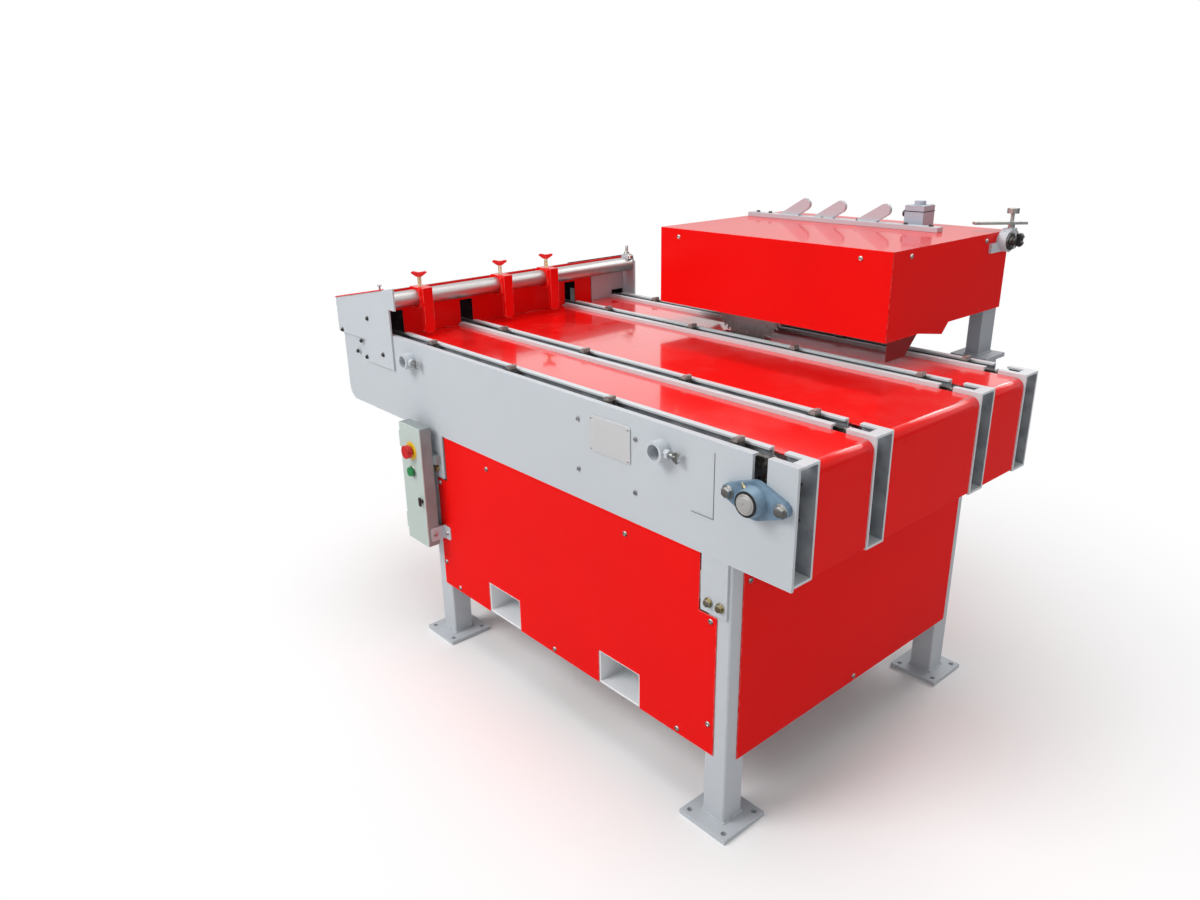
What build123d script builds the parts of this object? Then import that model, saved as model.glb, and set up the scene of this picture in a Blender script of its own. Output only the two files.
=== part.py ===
import os
from math import acos, atan2, cos, degrees, hypot, pi, sin, sqrt

from build123d import *

# Axes: X along the feed, Y to the rear, Z up; zero at the near front leg's outer corner
fit = 0.3                  # gap left between a turning or sliding piece and its seat
running_fit = 0.05         # radial gap of a piece keyed on its shaft
past = 1.0                 # a cut reaches this far past the face that it opens

# Base: four square legs on drilled foot plates, stretchers, fork channels and bolted red panels
leg = 63.5
leg_span_x = 1122.0        # between the same faces of two legs along the feed
leg_span_y = 898.0
leg_top = 680.0
leg_edge = 3.0
foot = 140.0
foot_t = 12.0
foot_hole_pitch = 105.0
foot_hole_r = 7.0
stretcher = 50.0
fork_w = 152.0
fork_top = 280.0
fork_wall = 6.0
fork_lap = 1.0             # the panels lap the fork tubes' ends by this much
fork_pitch = 484.0
panel_t = 3.0
panel_bottom = 183.0
panel_drop = 25.0          # from the legs' tops down to the panels
panel_inset = 36.0         # leg corner left bare beside a panel
end_panel_drop = 8.0       # the end panels hang this much lower
end_panel_inset = 14.0
tab_drop = 134.0           # length of the side plate's bolting tabs below the legs' tops
tab_near = 7.0
tab_far = 81.0
tab_gap = 7.0

# Conveyor: four lug chains in channel rails, sheet decks between them
rail_h = 252.0
rail_seat = 6.0            # pad between a leg's top and the rail
rail_end = 154.0           # overhang past the legs at the outfeed end
rail_front = 26.0          # middle of the first rail
rail_rear_inset = 22.0     # middle of the last rail from the rear legs' inner face
rail_second = 250.0        # from the first rail
rail_third = 676.0
rail_gap = 52.0            # clear width inside a rail
plate_t = 6.0
slot_w = 32.0              # chain slot between the rail's top strips
strip_t = 6.0
bridge_len = 28.0
track_t = 8.0
track_short = 78.0         # the chain's track ends this far from each shaft
deck_drop = 10.0           # decks lie this far below the rails' tops
deck_t = 3.0
deck_short = 3.0          # from the rails' ends back to the decks' turned-down ends
deck_bend = 22.0
skirt_rise = 4.0
side_round = 42.0
pad_t = 1.5
pad_len = 204.0

# Block-and-bar lug chain: centre blocks alternate with pairs of side bars
pitch = 63.5
teeth = 6
straight_links = 24
lug_every = 6
chain_drop = 24.5          # pin line of the upper run below the rails' tops
link_h = 26.0
link_t = 4.0
link_end = 9.0             # overhang of a link past its pins
block_half = 7.0           # half the width of a centre block
lug_w = 22.0
lug_rise = 36.0
lug_len = 24.0
lug_root = 4.0             # depth of a lug's foot between the side bars

# Shafts and their two-bolt flange bearings
shaft_r = 17.5
shaft_back = 90.0          # drive shaft back from the rails' ends
shaft_gap = 0.5
shaft_stub = 4.0
bearing_bolts = 130.0
bearing_boss_r = 40.0
bearing_ear_r = 17.0
bearing_flange_t = 14.0
bearing_h = 38.0
bearing_boss_edge = 4.0
bearing_taper = 9.0
sprocket_t = 13.0
tooth_h = 7.0

# Gear motor on the drive shaft
gear_w = 120.0
gear_back = 70.0
gear_fore = 60.0
gear_down = 75.0
gear_up = 55.0
gear_edge = 14.0
gear_motor_r = 54.0
gear_motor_len = 250.0
gear_motor_drop = 18.0
gear_cap_len = 27.0
torque_arm = 24.0
torque_arm_t = 16.0

# Hopper end: side plates, slotted red wall, sloping lid, cross bar with three stop fingers
hopper_reach = 222.0       # from the tail shaft to the hopper's end
hopper_rise = 72.0         # low end of the hopper plates above the rails
hopper_climb = 74.0        # rise of their tops to the bar
hopper_step_len = 182.0
hopper_step_drop = 38.0
hopper_plate_drop = 107.0
hopper_neck = 8.0
side_short = 21.0          # the side plate ends this far inside the hopper's end
rail_tail = 130.0          # rails run past the tail shaft
wall_ahead = 94.0          # slotted wall ahead of the tail shaft
wall_rise = 82.0
wall_t = 3.0
wall_slot = 46.0
wall_band = 14.0           # solid band along the wall's top
wall_join = 96.0           # from the third rail to the end of the red wall
wall_joint = 3.0
post_rise = 36.0
post_back = 14.0
post_ear_drop = 26.0
lid_drop = 3.0
lid_lap = 10.0
lid_foot = 20.0            # end cover stops this far above the legs' tops
bar_r = 24.0
bar_rise = 106.0
ear = 3.0                  # metal left round the bar
finger_y = (96.0, 390.0, 576.0)
finger_w = 32.0
finger_t = 12.0
finger_gap = 3.0           # finger tips above the rails
finger_wall = 7.0
finger_block_w = 40.0
finger_edge = 8.0
finger_round = 7.0
finger_screw_r = 6.0
finger_screw_gap = 0.6     # a wing screw's hole is this much larger
finger_screw_len = 51.0
finger_wing_w = 46.0
finger_wing_h = 16.0
finger_wing_t = 10.0

# Outrigger bar receivers on the front side plate
receiver_near = 198.0      # first receiver back from the outfeed legs
receiver_far = 99.0        # second receiver ahead of the hopper plate
receiver_drop = 56.0
receiver_r = 24.0
receiver_bore_r = 17.5
receiver_len = 30.0
receiver_boss_r = 11.0
receiver_boss_len = 10.0
receiver_screw_r = 5.0

# Push-button box on the hopper-side front leg
box_hang = 61.5            # box past the leg's outer face
box_w = 115.0
box_h = 375.0
box_drop = 350.0           # bottom of the box below the legs' tops
box_front = -62.0
box_depth = 38.0
box_wall = 2.5
bracket_h = 26.0
bracket_low = 30.0
bracket_high = 115.0
bracket_inset = 12.0
bracket_out = 14.0
door_t = 3.0
barrel_r = 4.0
barrel_len = 50.0
button_row = 4.0           # buttons off the box's middle
button_stem_r = 9.0
button_stem_in = 14.0
stop_r = 20.0
stop_h = 14.0
stop_lift = 9.0
stop_down = 77.0           # from the box's top
start_r = 14.0
start_h = 8.0
start_lift = 6.0
start_down = 141.0
latch_down = 228.0
latch_edge = 16.0
latch_r = 6.0
latch_in = 10.0

# Saw head: hood, swing frame, arbor, blade and belt drive, carried on a pivot shaft behind the conveyor
hood_ahead = 13.0          # hood front behind the third rail's middle
hood_left = -931.0
hood_right = -132.0
hood_lift = 59.0           # hood's lower edge above the rails
hood_t = 3.0
hood_step_y = 155.0        # where the hood's side starts to step down
hood_step_len = 121.0
hood_step_drop = 21.0
hood_step_end = 29.0
hood_rear_lift = 8.0
hood_behind = 43.0         # hood past the pivot
hood_clear = 12.0          # above the blade
flap_hang = 52.0
flap_lap = 14.0
flap_front = 15.0
flap_low = 85.0
flap_len = 138.0
pivot_behind = 310.0       # pivot behind the rear rail
pivot_drop = 26.0          # below the hood's top
pivot_r = 14.0
pivot_end = 32.0
pivot_start = 20.0
column_x = 39.0
column_y = 76.0
column_drop = 66.0         # column bases below the rails' tops
column_gap = 3.0
crown_gap = 4.0
crown_slope = 14.0
stand_beam_w = 70.0
stand_beam_h = 64.0
stand_plate_w = 110.0
stand_plate_lap = 18.0
stand_flange_w = 120.0
stand_flange_t = 12.0
stand_flange_down = 110.0
stand_flange_up = 30.0
stand_rib = 10.0
base_lift = 3.0            # swing frame's base plate above the hood's lower edge
base_t = 10.0
base_front = 135.0         # from the hood's front
base_rear_gap = 12.0
arm_t = 12.0
arm_offset = 27.0          # from a column's inner face to the swing arm
arm_low = 40.0
arm_mid = 70.0
arm_mid_y = 160.0
hub_r = 21.5
hub_in = 50.0
hub_out = 20.0
tie_w = 30.0
tie_inset = 20.0
arbor_x = -628.0
arbor_rise = 124.0
arbor_r = 16.0
blade_inset = 65.0         # blade behind the hood's front
blade_r = 150.0
blade_t = 3.2
blade_teeth = 36
tooth_depth = 9.0
blade_slot = 20.0          # deck cut-out past the blade's ends
blade_slot_front = 14.0
blade_slot_rear = 8.0
flange_r = 45.0
flange_t = 10.0
washer_t = 8.0
nut_r = 28.0
nut_t = 18.0
arbor_nose = 38.0
housing_gap = 32.0         # arbor housing behind the blade
housing_len = 172.0
housing_r = 48.0
housing_foot = 70.0
housing_neck = 40.0
housing_foot_t = 14.0
housing_foot_inset = 92.0
motor_x = -325.0
motor_rise = 48.0          # motor's axis above the arbor's
motor_r = 88.0
motor_shaft_r = 14.0
motor_gap = 12.0
motor_flange_t = 16.0
fan_len = 46.0
fins = 12
fin_t = 4.0
fin_h = 14.0
motor_foot_x = 62.0
motor_foot_w = 36.0
terminal_w = 60.0
terminal_off = -22.0       # terminal box beside the motor's middle
terminal_back = 112.0      # terminal box from the motor's front
terminal_rise = 64.0
terminal_gap = 10.0
knockout_r = 16.0
knockout_h = 12.0
arbor_pulley_r = 44.0
motor_pulley_r = 66.0
pulley_gap = 16.0          # pulleys behind the arbor housing
belt_w = 26.0
belt_t = 3.0
belt_gap = 0.4
belt_steps = 14
pulley_w = 32.0

# Bar with slanted arms along the hood's top, and the clamp on the pivot shaft's end
top_bar_h = 14.0
top_bar_y = (191.0, 161.0)
top_bar_x = (6.0, 114.0)
slant_y = (181.0, 169.0)
slant_x = (163.0, 293.0, 446.0)
slant_r = 18.0
slant_rise = 36.0
slant_run = 62.0
clamp_r = 29.0
clamp_cheek = 11.0
clamp_low = 24.0
clamp_high = 34.0
clamp_split = 4.0
clamp_arm = 66.0
clamp_arm_t = 8.0
clamp_arm_z = (28.0, 2.0)
clamp_screw_r = 5.0
clamp_screw_y = 9.0        # clear of the pivot shaft
clamp_screw_in = 14.0
lever_rise = 44.0
lever_x = (104.0, 40.0)
lever_w = 22.0
lever_t = 7.0
lever_collar_r = 9.0
knob_lift = 30.0
knob_r = 16.0
knob_h = 14.0

# Take-up lock behind the rear rail
lock_x = -20.0
lock_drop = 42.0

# Levels and stations that follow from the sizes above
panel_top = leg_top - panel_drop
tab_bottom = leg_top - tab_drop
rail_bottom = leg_top + rail_seat
rail_top = rail_bottom + rail_h
rail_y = (rail_front, rail_front + rail_second, rail_front + rail_third, leg_span_y + rail_rear_inset)
half_in = rail_gap / 2
half_out = half_in + plate_t
front_face = -plate_t - pad_t
rear_face = rail_y[3] + half_out
deck_top = rail_top - deck_drop
deck_end = rail_end - deck_short
skirt_bottom = rail_bottom + skirt_rise
sprocket_r = pitch / (2 * sin(pi / teeth))
links = 2 * straight_links + teeth
chain_z = rail_top - chain_drop
shaft_x = rail_end - shaft_back
shaft_z = chain_z - sprocket_r
tail_x = shaft_x - straight_links * pitch
hopper_left = tail_x - hopper_reach
side_left = hopper_left + side_short
rail_left = tail_x - rail_tail
wall_x = tail_x + wall_ahead
wall_top = rail_top + wall_rise
wall_end = rail_y[2] + wall_join
strip_left = wall_x + 10
finger_half = bar_r + finger_wall
bar_x = wall_x + wall_t + 2 + finger_half
bar_z = rail_top + bar_rise
ear_right = bar_x + bar_r + ear
ear_low = bar_z - bar_r - ear
hopper_right = bar_x - hopper_neck
hopper_low = rail_top + hopper_rise
hopper_high = hopper_low + hopper_climb
hopper_step_x = hopper_left + hopper_step_len
hopper_step_z = rail_top - hopper_step_drop
hopper_plate_bottom = rail_top - hopper_plate_drop
post_top = bar_z + post_rise
receiver_x = (-receiver_near, hopper_right + receiver_far)
receiver_z = rail_top - receiver_drop
hood_front_y = rail_y[2] + hood_ahead
hood_bottom = rail_top + hood_lift
arbor_z = rail_top + arbor_rise
hood_top = arbor_z + blade_r + hood_clear
pivot_y = rear_face + pivot_behind
pivot_z = hood_top - pivot_drop
hood_rear_y = pivot_y + hood_behind
hood_rear_bottom = hood_bottom + hood_rear_lift
column_base_z = rail_top - column_drop
blade_y = hood_front_y + blade_inset
housing_y0 = blade_y + housing_gap
housing_y1 = housing_y0 + housing_len
pulley_y = housing_y1 + pulley_gap
motor_z = arbor_z + motor_rise


def block(x0, x1, y0, y1, z0, z1):
    return Pos((x0 + x1) / 2, (y0 + y1) / 2, (z0 + z1) / 2) * Box(x1 - x0, y1 - y0, z1 - z0)


def rod_x(x0, x1, y, z, r):
    return Pos((x0 + x1) / 2, y, z) * Rot(0, 90, 0) * Cylinder(r, x1 - x0)


def rod_y(x, y0, y1, z, r):
    return Pos(x, (y0 + y1) / 2, z) * Rot(90, 0, 0) * Cylinder(r, y1 - y0)


def rod_z(x, y, z0, z1, r):
    return Pos(x, y, (z0 + z1) / 2) * Cylinder(r, z1 - z0)


def prism_y(x, y0, y1, z, r, sides):
    # Many-sided drum along Y, its corners on radius r
    return Pos(x, y1, z) * Rot(90, 0, 0) * extrude(RegularPolygon(r, sides), amount=y1 - y0)


def prism_z(x, y, z0, z1, r, sides):
    return Pos(x, y, z0) * extrude(RegularPolygon(r, sides), amount=z1 - z0)


def prism_x(x0, x1, y, z, r, sides):
    return Pos(x0, y, z) * Rot(0, 90, 0) * extrude(RegularPolygon(r, sides), amount=x1 - x0)


def plate_xz(points, y0, y1):
    face = make_face(Polyline(*[(x, y0, z) for x, z in points], close=True))
    return extrude(face, amount=y1 - y0, dir=(0, 1, 0))


def plate_yz(points, x0, x1):
    face = make_face(Polyline(*[(x0, y, z) for y, z in points], close=True))
    return extrude(face, amount=x1 - x0, dir=(1, 0, 0))


def wing_screw(length, stem_r, wing_w, wing_h, wing_t):
    # Hand screw standing on the origin, with a flat flared wing on top
    stem = prism_z(0, 0, 0, length - wing_h / 2, stem_r, 12)
    low, high, w, neck = length - wing_h, length, wing_w / 2, stem_r + 2
    shoulder, dip, horn = high - wing_h * 0.35, high - 3, 4
    half = [(neck, low), (w, shoulder), (w, dip), (w - horn, high), (horn, dip)]
    wing = half + [(-x, z) for x, z in reversed(half)]
    return stem + plate_xz(wing, -wing_t / 2, wing_t / 2)


def seat_slot(x, y0, y1):
    # Slot open to the top, wide enough to drop the shaft in, with a bevelled bottom
    r = shaft_r + shaft_gap
    half = [(r, rail_top + past), (r, shaft_z - r / 2), (r / 2, shaft_z - r)]
    outline = half + [(-dx, z) for dx, z in reversed(half)]
    return plate_xz([(x + dx, z) for dx, z in outline], y0, y1)


nodes = {}

# Legs with drilled foot plates
leg_x = (-leg, -leg_span_x - leg)
leg_y = (0.0, leg_span_y)
legs = []
for x0 in leg_x:
    for y0 in leg_y:
        cx, cy = x0 + leg / 2, y0 + leg / 2
        plate = block(cx - foot / 2, cx + foot / 2, cy - foot / 2, cy + foot / 2, 0, foot_t)
        for sx in (-1, 1):
            for sy in (-1, 1):
                hx, hy = cx + sx * foot_hole_pitch / 2, cy + sy * foot_hole_pitch / 2
                plate -= rod_z(hx, hy, -past, foot_t + past, foot_hole_r)
        tube = block(x0, x0 + leg, y0, y0 + leg, foot_t, leg_top)
        tube = chamfer(tube.edges().filter_by(Axis.Z), leg_edge)
        legs += [tube, plate]
nodes["legs"] = legs

# Stretchers between the legs, at the fork channels and under the rails
far_x, near_x = leg_x[1], 0.0
rear_y = leg_span_y + leg
inset = (leg - stretcher) / 2
stretchers = []
for z0 in (fork_top, leg_top - stretcher):
    for y0 in leg_y:
        stretchers.append(block(far_x + leg, -leg, y0 + inset, y0 + inset + stretcher, z0, z0 + stretcher))
    for x0 in leg_x:
        stretchers.append(block(x0 + inset, x0 + inset + stretcher, leg, leg_span_y, z0, z0 + stretcher))
nodes["base_stretchers"] = stretchers

# Fork tubes, run from front to rear
mid_x = (far_x + near_x) / 2
fork_x = (mid_x - fork_pitch / 2, mid_x + fork_pitch / 2)
fork_in = fork_w / 2 - fork_wall
fork_lip = fork_top - fork_wall
forks = []
for cx in fork_x:
    shell = block(cx - fork_w / 2, cx + fork_w / 2, 0, rear_y, panel_bottom, fork_top)
    pocket = block(cx - fork_in, cx + fork_in, -past, rear_y + past, panel_bottom + fork_wall, fork_lip)
    forks.append(shell - pocket)
nodes["fork_channels"] = forks

# Front and rear panels, notched round the tabs and over the fork channels
left, right = far_x + panel_inset, near_x - panel_inset
left_top, right_top = far_x + tab_far + tab_gap, near_x - tab_far - tab_gap
panel_tab = tab_bottom - tab_gap
outline = [(left, panel_bottom)]
notch_in, notch_top = fork_w / 2 - fork_lap, fork_top - fork_lap
for cx in fork_x:
    outline += [(cx - notch_in, panel_bottom), (cx - notch_in, notch_top), (cx + notch_in, notch_top),
                (cx + notch_in, panel_bottom)]
outline += [(right, panel_bottom), (right, panel_tab), (right_top, panel_tab), (right_top, panel_top),
            (left_top, panel_top), (left_top, panel_tab), (left, panel_tab)]
nodes["front_panel"] = plate_xz(outline, -panel_t, 0)
nodes["rear_panel"] = plate_xz(outline, rear_y, rear_y + panel_t)

# End panels on the outer leg faces
end_bottom = panel_bottom - end_panel_drop
nodes["end_panels"] = [block(x, x + panel_t, panel_inset, rear_y - end_panel_inset, end_bottom, panel_top)
                       for x in (near_x, far_x - panel_t)]

# Front side plate: long grey plate with rounded hopper corner, leg tabs, thicker bearing pad and top strip
side = block(side_left, rail_end, -plate_t, 0, leg_top, rail_top)
corner = [e for e in side.edges().filter_by(Axis.Y)
          if e.center().X < side_left + past and e.center().Z < leg_top + past]
side = fillet(corner, side_round)
for a, b in ((far_x + tab_near, far_x + tab_far), (near_x - tab_far, near_x - tab_near)):
    side += block(a, b, -plate_t, 0, tab_bottom, leg_top)
side += block(rail_end - pad_len, rail_end, front_face, -plate_t, leg_top, rail_top)
side += block(strip_left, rail_end, -plate_t, rail_y[0] - slot_w / 2, rail_top - strip_t, rail_top)
side -= seat_slot(shaft_x, front_face - past, rail_y[0])
side -= rod_y(tail_x, -plate_t - past, past, shaft_z, shaft_r + shaft_gap)
nodes["front_side_plate"] = side

# Rails: side plates, floor, chain track, top strips and an end bridge
strip_z = rail_top - strip_t
track_z = chain_z - link_h / 2 - fit
for i, y in enumerate(rail_y):
    sides = (1,) if i == 0 else (-1, 1)
    rail = block(rail_left, rail_end, y - half_in, y + half_in, rail_bottom, rail_bottom + plate_t)
    for s in sides:
        a, b = sorted((y + s * half_in, y + s * half_out))
        rail += block(rail_left, rail_end, a, b, rail_bottom, strip_z)
        a, b = sorted((y + s * slot_w / 2, y + s * half_out))
        rail += block(strip_left, rail_end, a, b, strip_z, rail_top)
    rail += block(tail_x + track_short, shaft_x - track_short, y - half_in, y + half_in,
                  track_z - track_t, track_z)
    rail += block(rail_end - bridge_len, rail_end, y - slot_w / 2, y + slot_w / 2, strip_z, rail_top)
    for x in (shaft_x, tail_x):
        rail -= seat_slot(x, y - half_out - past, y + half_out + past)
    nodes[f"chain_rail_{i + 1}"] = rail

# Decks: sheets let in below the rail tops, turned down at the outfeed end
deck_left = wall_x + wall_t


def bent_end(y0, y1, end, top, bottom, radius):
    # Solid under a sheet that turns down at the outfeed end
    body = block(deck_left, end, y0, y1, bottom, top)
    bend = [e for e in body.edges().filter_by(Axis.Y)
            if e.center().X > end - past and e.center().Z > top - past]
    return fillet(bend, radius)


chord = sqrt(blade_r ** 2 - (arbor_z - deck_top) ** 2)
for i in range(3):
    y0, y1 = rail_y[i] + half_out, rail_y[i + 1] - half_out
    deck = bent_end(y0, y1, deck_end, deck_top, skirt_bottom, deck_bend)
    inner = deck_bend - deck_t
    under = bent_end(y0 - past, y1 + past, deck_end - deck_t, deck_top - deck_t, skirt_bottom - past, inner)
    deck -= under + Pos(-deck_t, 0, 0) * under
    if i == 2:
        deck -= block(arbor_x - chord - blade_slot, arbor_x + chord + blade_slot, blade_y - blade_slot_front,
                      blade_y + blade_slot_rear, deck_top - deck_t - past, deck_top + past)
    nodes[f"deck_panel_{i + 1}"] = deck


def chain_pin(j):
    # Pin j of the loop: top run to the hopper, round the tail sprocket, back below, round the drive sprocket
    turn = teeth // 2
    if j <= straight_links:
        return shaft_x - j * pitch, chain_z
    if j < straight_links + turn:
        a = pi / 2 + (j - straight_links) * 2 * pi / teeth
        return tail_x + sprocket_r * cos(a), shaft_z + sprocket_r * sin(a)
    if j <= 2 * straight_links + turn:
        return tail_x + (j - straight_links - turn) * pitch, shaft_z - sprocket_r
    a = -pi / 2 + (j - 2 * straight_links - turn) * 2 * pi / teeth
    return shaft_x + sprocket_r * cos(a), shaft_z + sprocket_r * sin(a)


def link_bar(y0, y1):
    # Bar of one link between two pins on X
    return block(-link_end, pitch + link_end, y0, y1, -link_h / 2, link_h / 2)


def chain_lug():
    # Pusher dog on the leading half of a pair of side bars: upright face, sloped back
    x0 = pitch - link_end - 3
    low = link_h / 2 - lug_root
    face = [(x0, low), (x0, lug_rise), (x0 - lug_len * 0.45, lug_rise), (x0 - lug_len * 1.5, low)]
    return plate_xz(face, -lug_w / 2, lug_w / 2)


reach = block_half + link_t
inner_link = [link_bar(-block_half, block_half)]
outer_link = [link_bar(block_half, reach), link_bar(-reach, -block_half)]
dog = chain_lug()
loop = []
for j in range(links):
    xa, za = chain_pin(j)
    xb, zb = chain_pin((j + 1) % links)
    place = Pos(xb, 0, zb) * Rot(0, -degrees(atan2(za - zb, xa - xb)), 0)
    loop += [place * p for p in (outer_link if j % 2 == 1 else inner_link)]
    if j % lug_every == 1:
        loop.append(place * dog)
chain = loop[0].fuse(*loop[1:])
for i, y in enumerate(rail_y):
    nodes[f"lug_chain_{i + 1}"] = Pos(0, y, 0) * chain


def sprocket(x, y):
    # Toothed wheel keyed on its shaft; the tips stop short of the chain's centre blocks
    tip = sprocket_r * cos(pi / teeth) - link_h / 2 - past
    ring = []
    for k in range(teeth):
        for da, r in ((-0.3, tip), (0.3, tip), (0.55, tip - tooth_h), (1.45, tip - tooth_h)):
            a = (k + da / 2) * 2 * pi / teeth
            ring.append((x + r * cos(a), shaft_z + r * sin(a)))
    disc = plate_xz(ring, y - sprocket_t / 2, y + sprocket_t / 2)
    return disc - rod_y(x, y - sprocket_t, y + sprocket_t, shaft_z, shaft_r + running_fit)


def flange_bearing(x, y, out):
    # Two-bolt bearing, its flange face at y, boss towards out
    w, b, r = bearing_bolts / 2, bearing_boss_r, bearing_ear_r
    a = acos((b - r) / w)
    rim = []
    arcs = ((w, r, -a, a), (0, b, a, pi - a), (-w, r, pi - a, pi + a), (0, b, pi + a, 2 * pi - a))
    for cx, rr, start, stop in arcs:
        for k in range(5):
            t = start + (stop - start) * k / 4
            rim.append((x + cx + rr * cos(t), shaft_z + rr * sin(t)))
    body = plate_xz(rim, *sorted((y, y + out * bearing_flange_t)))
    boss = Cone(b - bearing_boss_edge, b - bearing_boss_edge - bearing_taper, bearing_h)
    body += Pos(x, y + out * bearing_h / 2, shaft_z) * Rot(-90 * out, 0, 0) * boss
    return body - rod_y(x, y - 2 * bearing_h, y + 2 * bearing_h, shaft_z, shaft_r + fit)


# Drive shaft at the outfeed end, tail shaft inside the hopper end, and their bearings
shaft_reach = bearing_h + shaft_stub
nodes["drive_shaft"] = rod_y(shaft_x, front_face - shaft_reach, rear_face + shaft_reach, shaft_z, shaft_r)
nodes["drive_sprockets"] = [sprocket(shaft_x, y) for y in rail_y]
nodes["tail_shaft"] = rod_y(tail_x, rail_y[0] - sprocket_t, rail_y[3] + sprocket_t, shaft_z, shaft_r)
nodes["tail_sprockets"] = [sprocket(tail_x, y) for y in rail_y]
nodes["flange_bearings"] = [flange_bearing(shaft_x, front_face, -1), flange_bearing(shaft_x, rear_face, 1),
                            flange_bearing(tail_x, rail_y[0] + half_out, 1),
                            flange_bearing(tail_x, rail_y[3] - half_out, -1)]

# Shaft-mounted gear motor under the middle deck, held off by a torque arm
gear_y = (rail_y[1] + rail_y[2]) / 2
case_back = shaft_x - gear_back
gear_case = block(case_back, shaft_x + gear_fore, gear_y - gear_w / 2, gear_y + gear_w / 2,
                  shaft_z - gear_down, shaft_z + gear_up)
gear_case = chamfer(gear_case.edges().filter_by(Axis.Y), gear_edge)
gear_motor_z = shaft_z - gear_motor_drop
cap_x = case_back - gear_motor_len
gear_case += prism_x(cap_x, case_back, gear_y, gear_motor_z, gear_motor_r, 24)
gear_case += prism_x(cap_x - gear_cap_len, cap_x, gear_y, gear_motor_z, gear_motor_r - 4, 24)
torque_x = leg_x[0] + inset + stretcher / 2
gear_case += block(torque_x - torque_arm / 2, torque_x + torque_arm / 2, gear_y - torque_arm_t / 2,
                   gear_y + torque_arm_t / 2, leg_top, gear_motor_z - gear_motor_r / 2)
gear_case -= rod_y(shaft_x, gear_y - gear_w, gear_y + gear_w, shaft_z, shaft_r + fit)
nodes["gear_motor"] = gear_case

# Hopper end plates with sloping tops; the rear one has a pointed post and a filler beside the wall
slope = hopper_climb / (ear_right - hopper_left)


def hopper_top(x):
    return hopper_low + slope * (x - hopper_left)


foot_steps = [(hopper_step_x, hopper_plate_bottom), (hopper_step_x, hopper_step_z),
              (hopper_left, hopper_step_z), (hopper_left, hopper_low)]
front_outline = foot_steps + [(ear_right, hopper_high), (ear_right, ear_low), (hopper_right, ear_low),
                              (hopper_right, hopper_plate_bottom)]
nodes["hopper_front_plate"] = plate_xz(front_outline, -2 * plate_t, -plate_t)
post_x = bar_x - post_back
rear_outline = [(hopper_left, hopper_plate_bottom), (hopper_left, hopper_low), (post_x, hopper_top(post_x)),
                (bar_x, post_top), (ear_right, post_top - post_ear_drop), (ear_right, hopper_plate_bottom)]
rear_plate = plate_xz(rear_outline, rear_face, rear_face + plate_t)
filler_y = wall_end + wall_joint
rear_plate += block(wall_x, wall_x + wall_t, filler_y, rail_y[3] - wall_slot / 2, deck_top, wall_top)
rear_plate += block(wall_x, wall_x + wall_t, filler_y, rear_face, wall_top - wall_band, wall_top)


def rail_notch(y, y1):
    # Cut that lets the wall stand over a rail's side plates
    x0, x1 = wall_x - past, wall_x + wall_t + past
    return block(x0, x1, y - half_out - shaft_gap, y1, deck_top - past, strip_z + shaft_gap)


nodes["hopper_rear_plate"] = rear_plate - rail_notch(rail_y[3], rear_face)

# Red wall above the decks, slotted for the chains
wall = block(wall_x, wall_x + wall_t, 0, wall_end, deck_top, wall_top)
for y in rail_y[:3]:
    wall -= block(wall_x - past, wall_x + wall_t + past, y - wall_slot / 2, y + wall_slot / 2,
                  deck_top - past, wall_top - wall_band)
    wall -= rail_notch(y, y + half_out + shaft_gap)
nodes["hopper_wall"] = wall

# Lid sheet sloping down to the hopper end, where it is turned down as the end cover
lid_r, lid_l = wall_x - 2, hopper_left + 4
lid_line = [(lid_r, hopper_top(lid_r) - lid_drop), (lid_l, hopper_top(lid_l) - lid_drop),
            (lid_l, leg_top + lid_foot)]
under_line = [(lid_l + wall_t, leg_top + lid_foot), (lid_l + wall_t, hopper_top(lid_l) - lid_drop - wall_t),
              (lid_r - wall_t, hopper_top(lid_r) - lid_drop - wall_t), (lid_r - wall_t, wall_top - lid_lap),
              (lid_r, wall_top - lid_lap)]
nodes["hopper_lid"] = plate_xz(lid_line + under_line, -plate_t, rear_face)

# Polished cross bar between the hopper plates
nodes["cross_bar"] = rod_y(bar_x, -plate_t, rear_face, bar_z, bar_r)

# Stop fingers: block clamped on the bar, finger on its outfeed face
h = finger_half
for i, y in enumerate(finger_y):
    clamp = block(bar_x - h, bar_x + h, y - finger_block_w / 2, y + finger_block_w / 2, bar_z - h, bar_z + h)
    clamp = chamfer(clamp.edges().filter_by(Axis.Y), finger_edge)
    tip_z = rail_top + finger_gap
    finger = block(bar_x + h, bar_x + h + finger_t, y - finger_w / 2, y + finger_w / 2, tip_z, bar_z + h)
    low = [e for e in finger.edges().filter_by(Axis.X) if e.center().Z < tip_z + past]
    clamp += chamfer(low, finger_round)
    clamp -= rod_y(bar_x, y - finger_block_w, y + finger_block_w, bar_z, bar_r + fit)
    clamp -= prism_z(bar_x, y, bar_z, bar_z + h + past, finger_screw_r + finger_screw_gap, 12)
    nodes[f"stop_finger_{i + 1}"] = clamp
    screw = wing_screw(finger_screw_len, finger_screw_r, finger_wing_w, finger_wing_h, finger_wing_t)
    nodes[f"finger_screw_{i + 1}"] = Pos(bar_x, y, bar_z + bar_r + fit) * Rot(0, 0, 45) * screw

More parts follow.
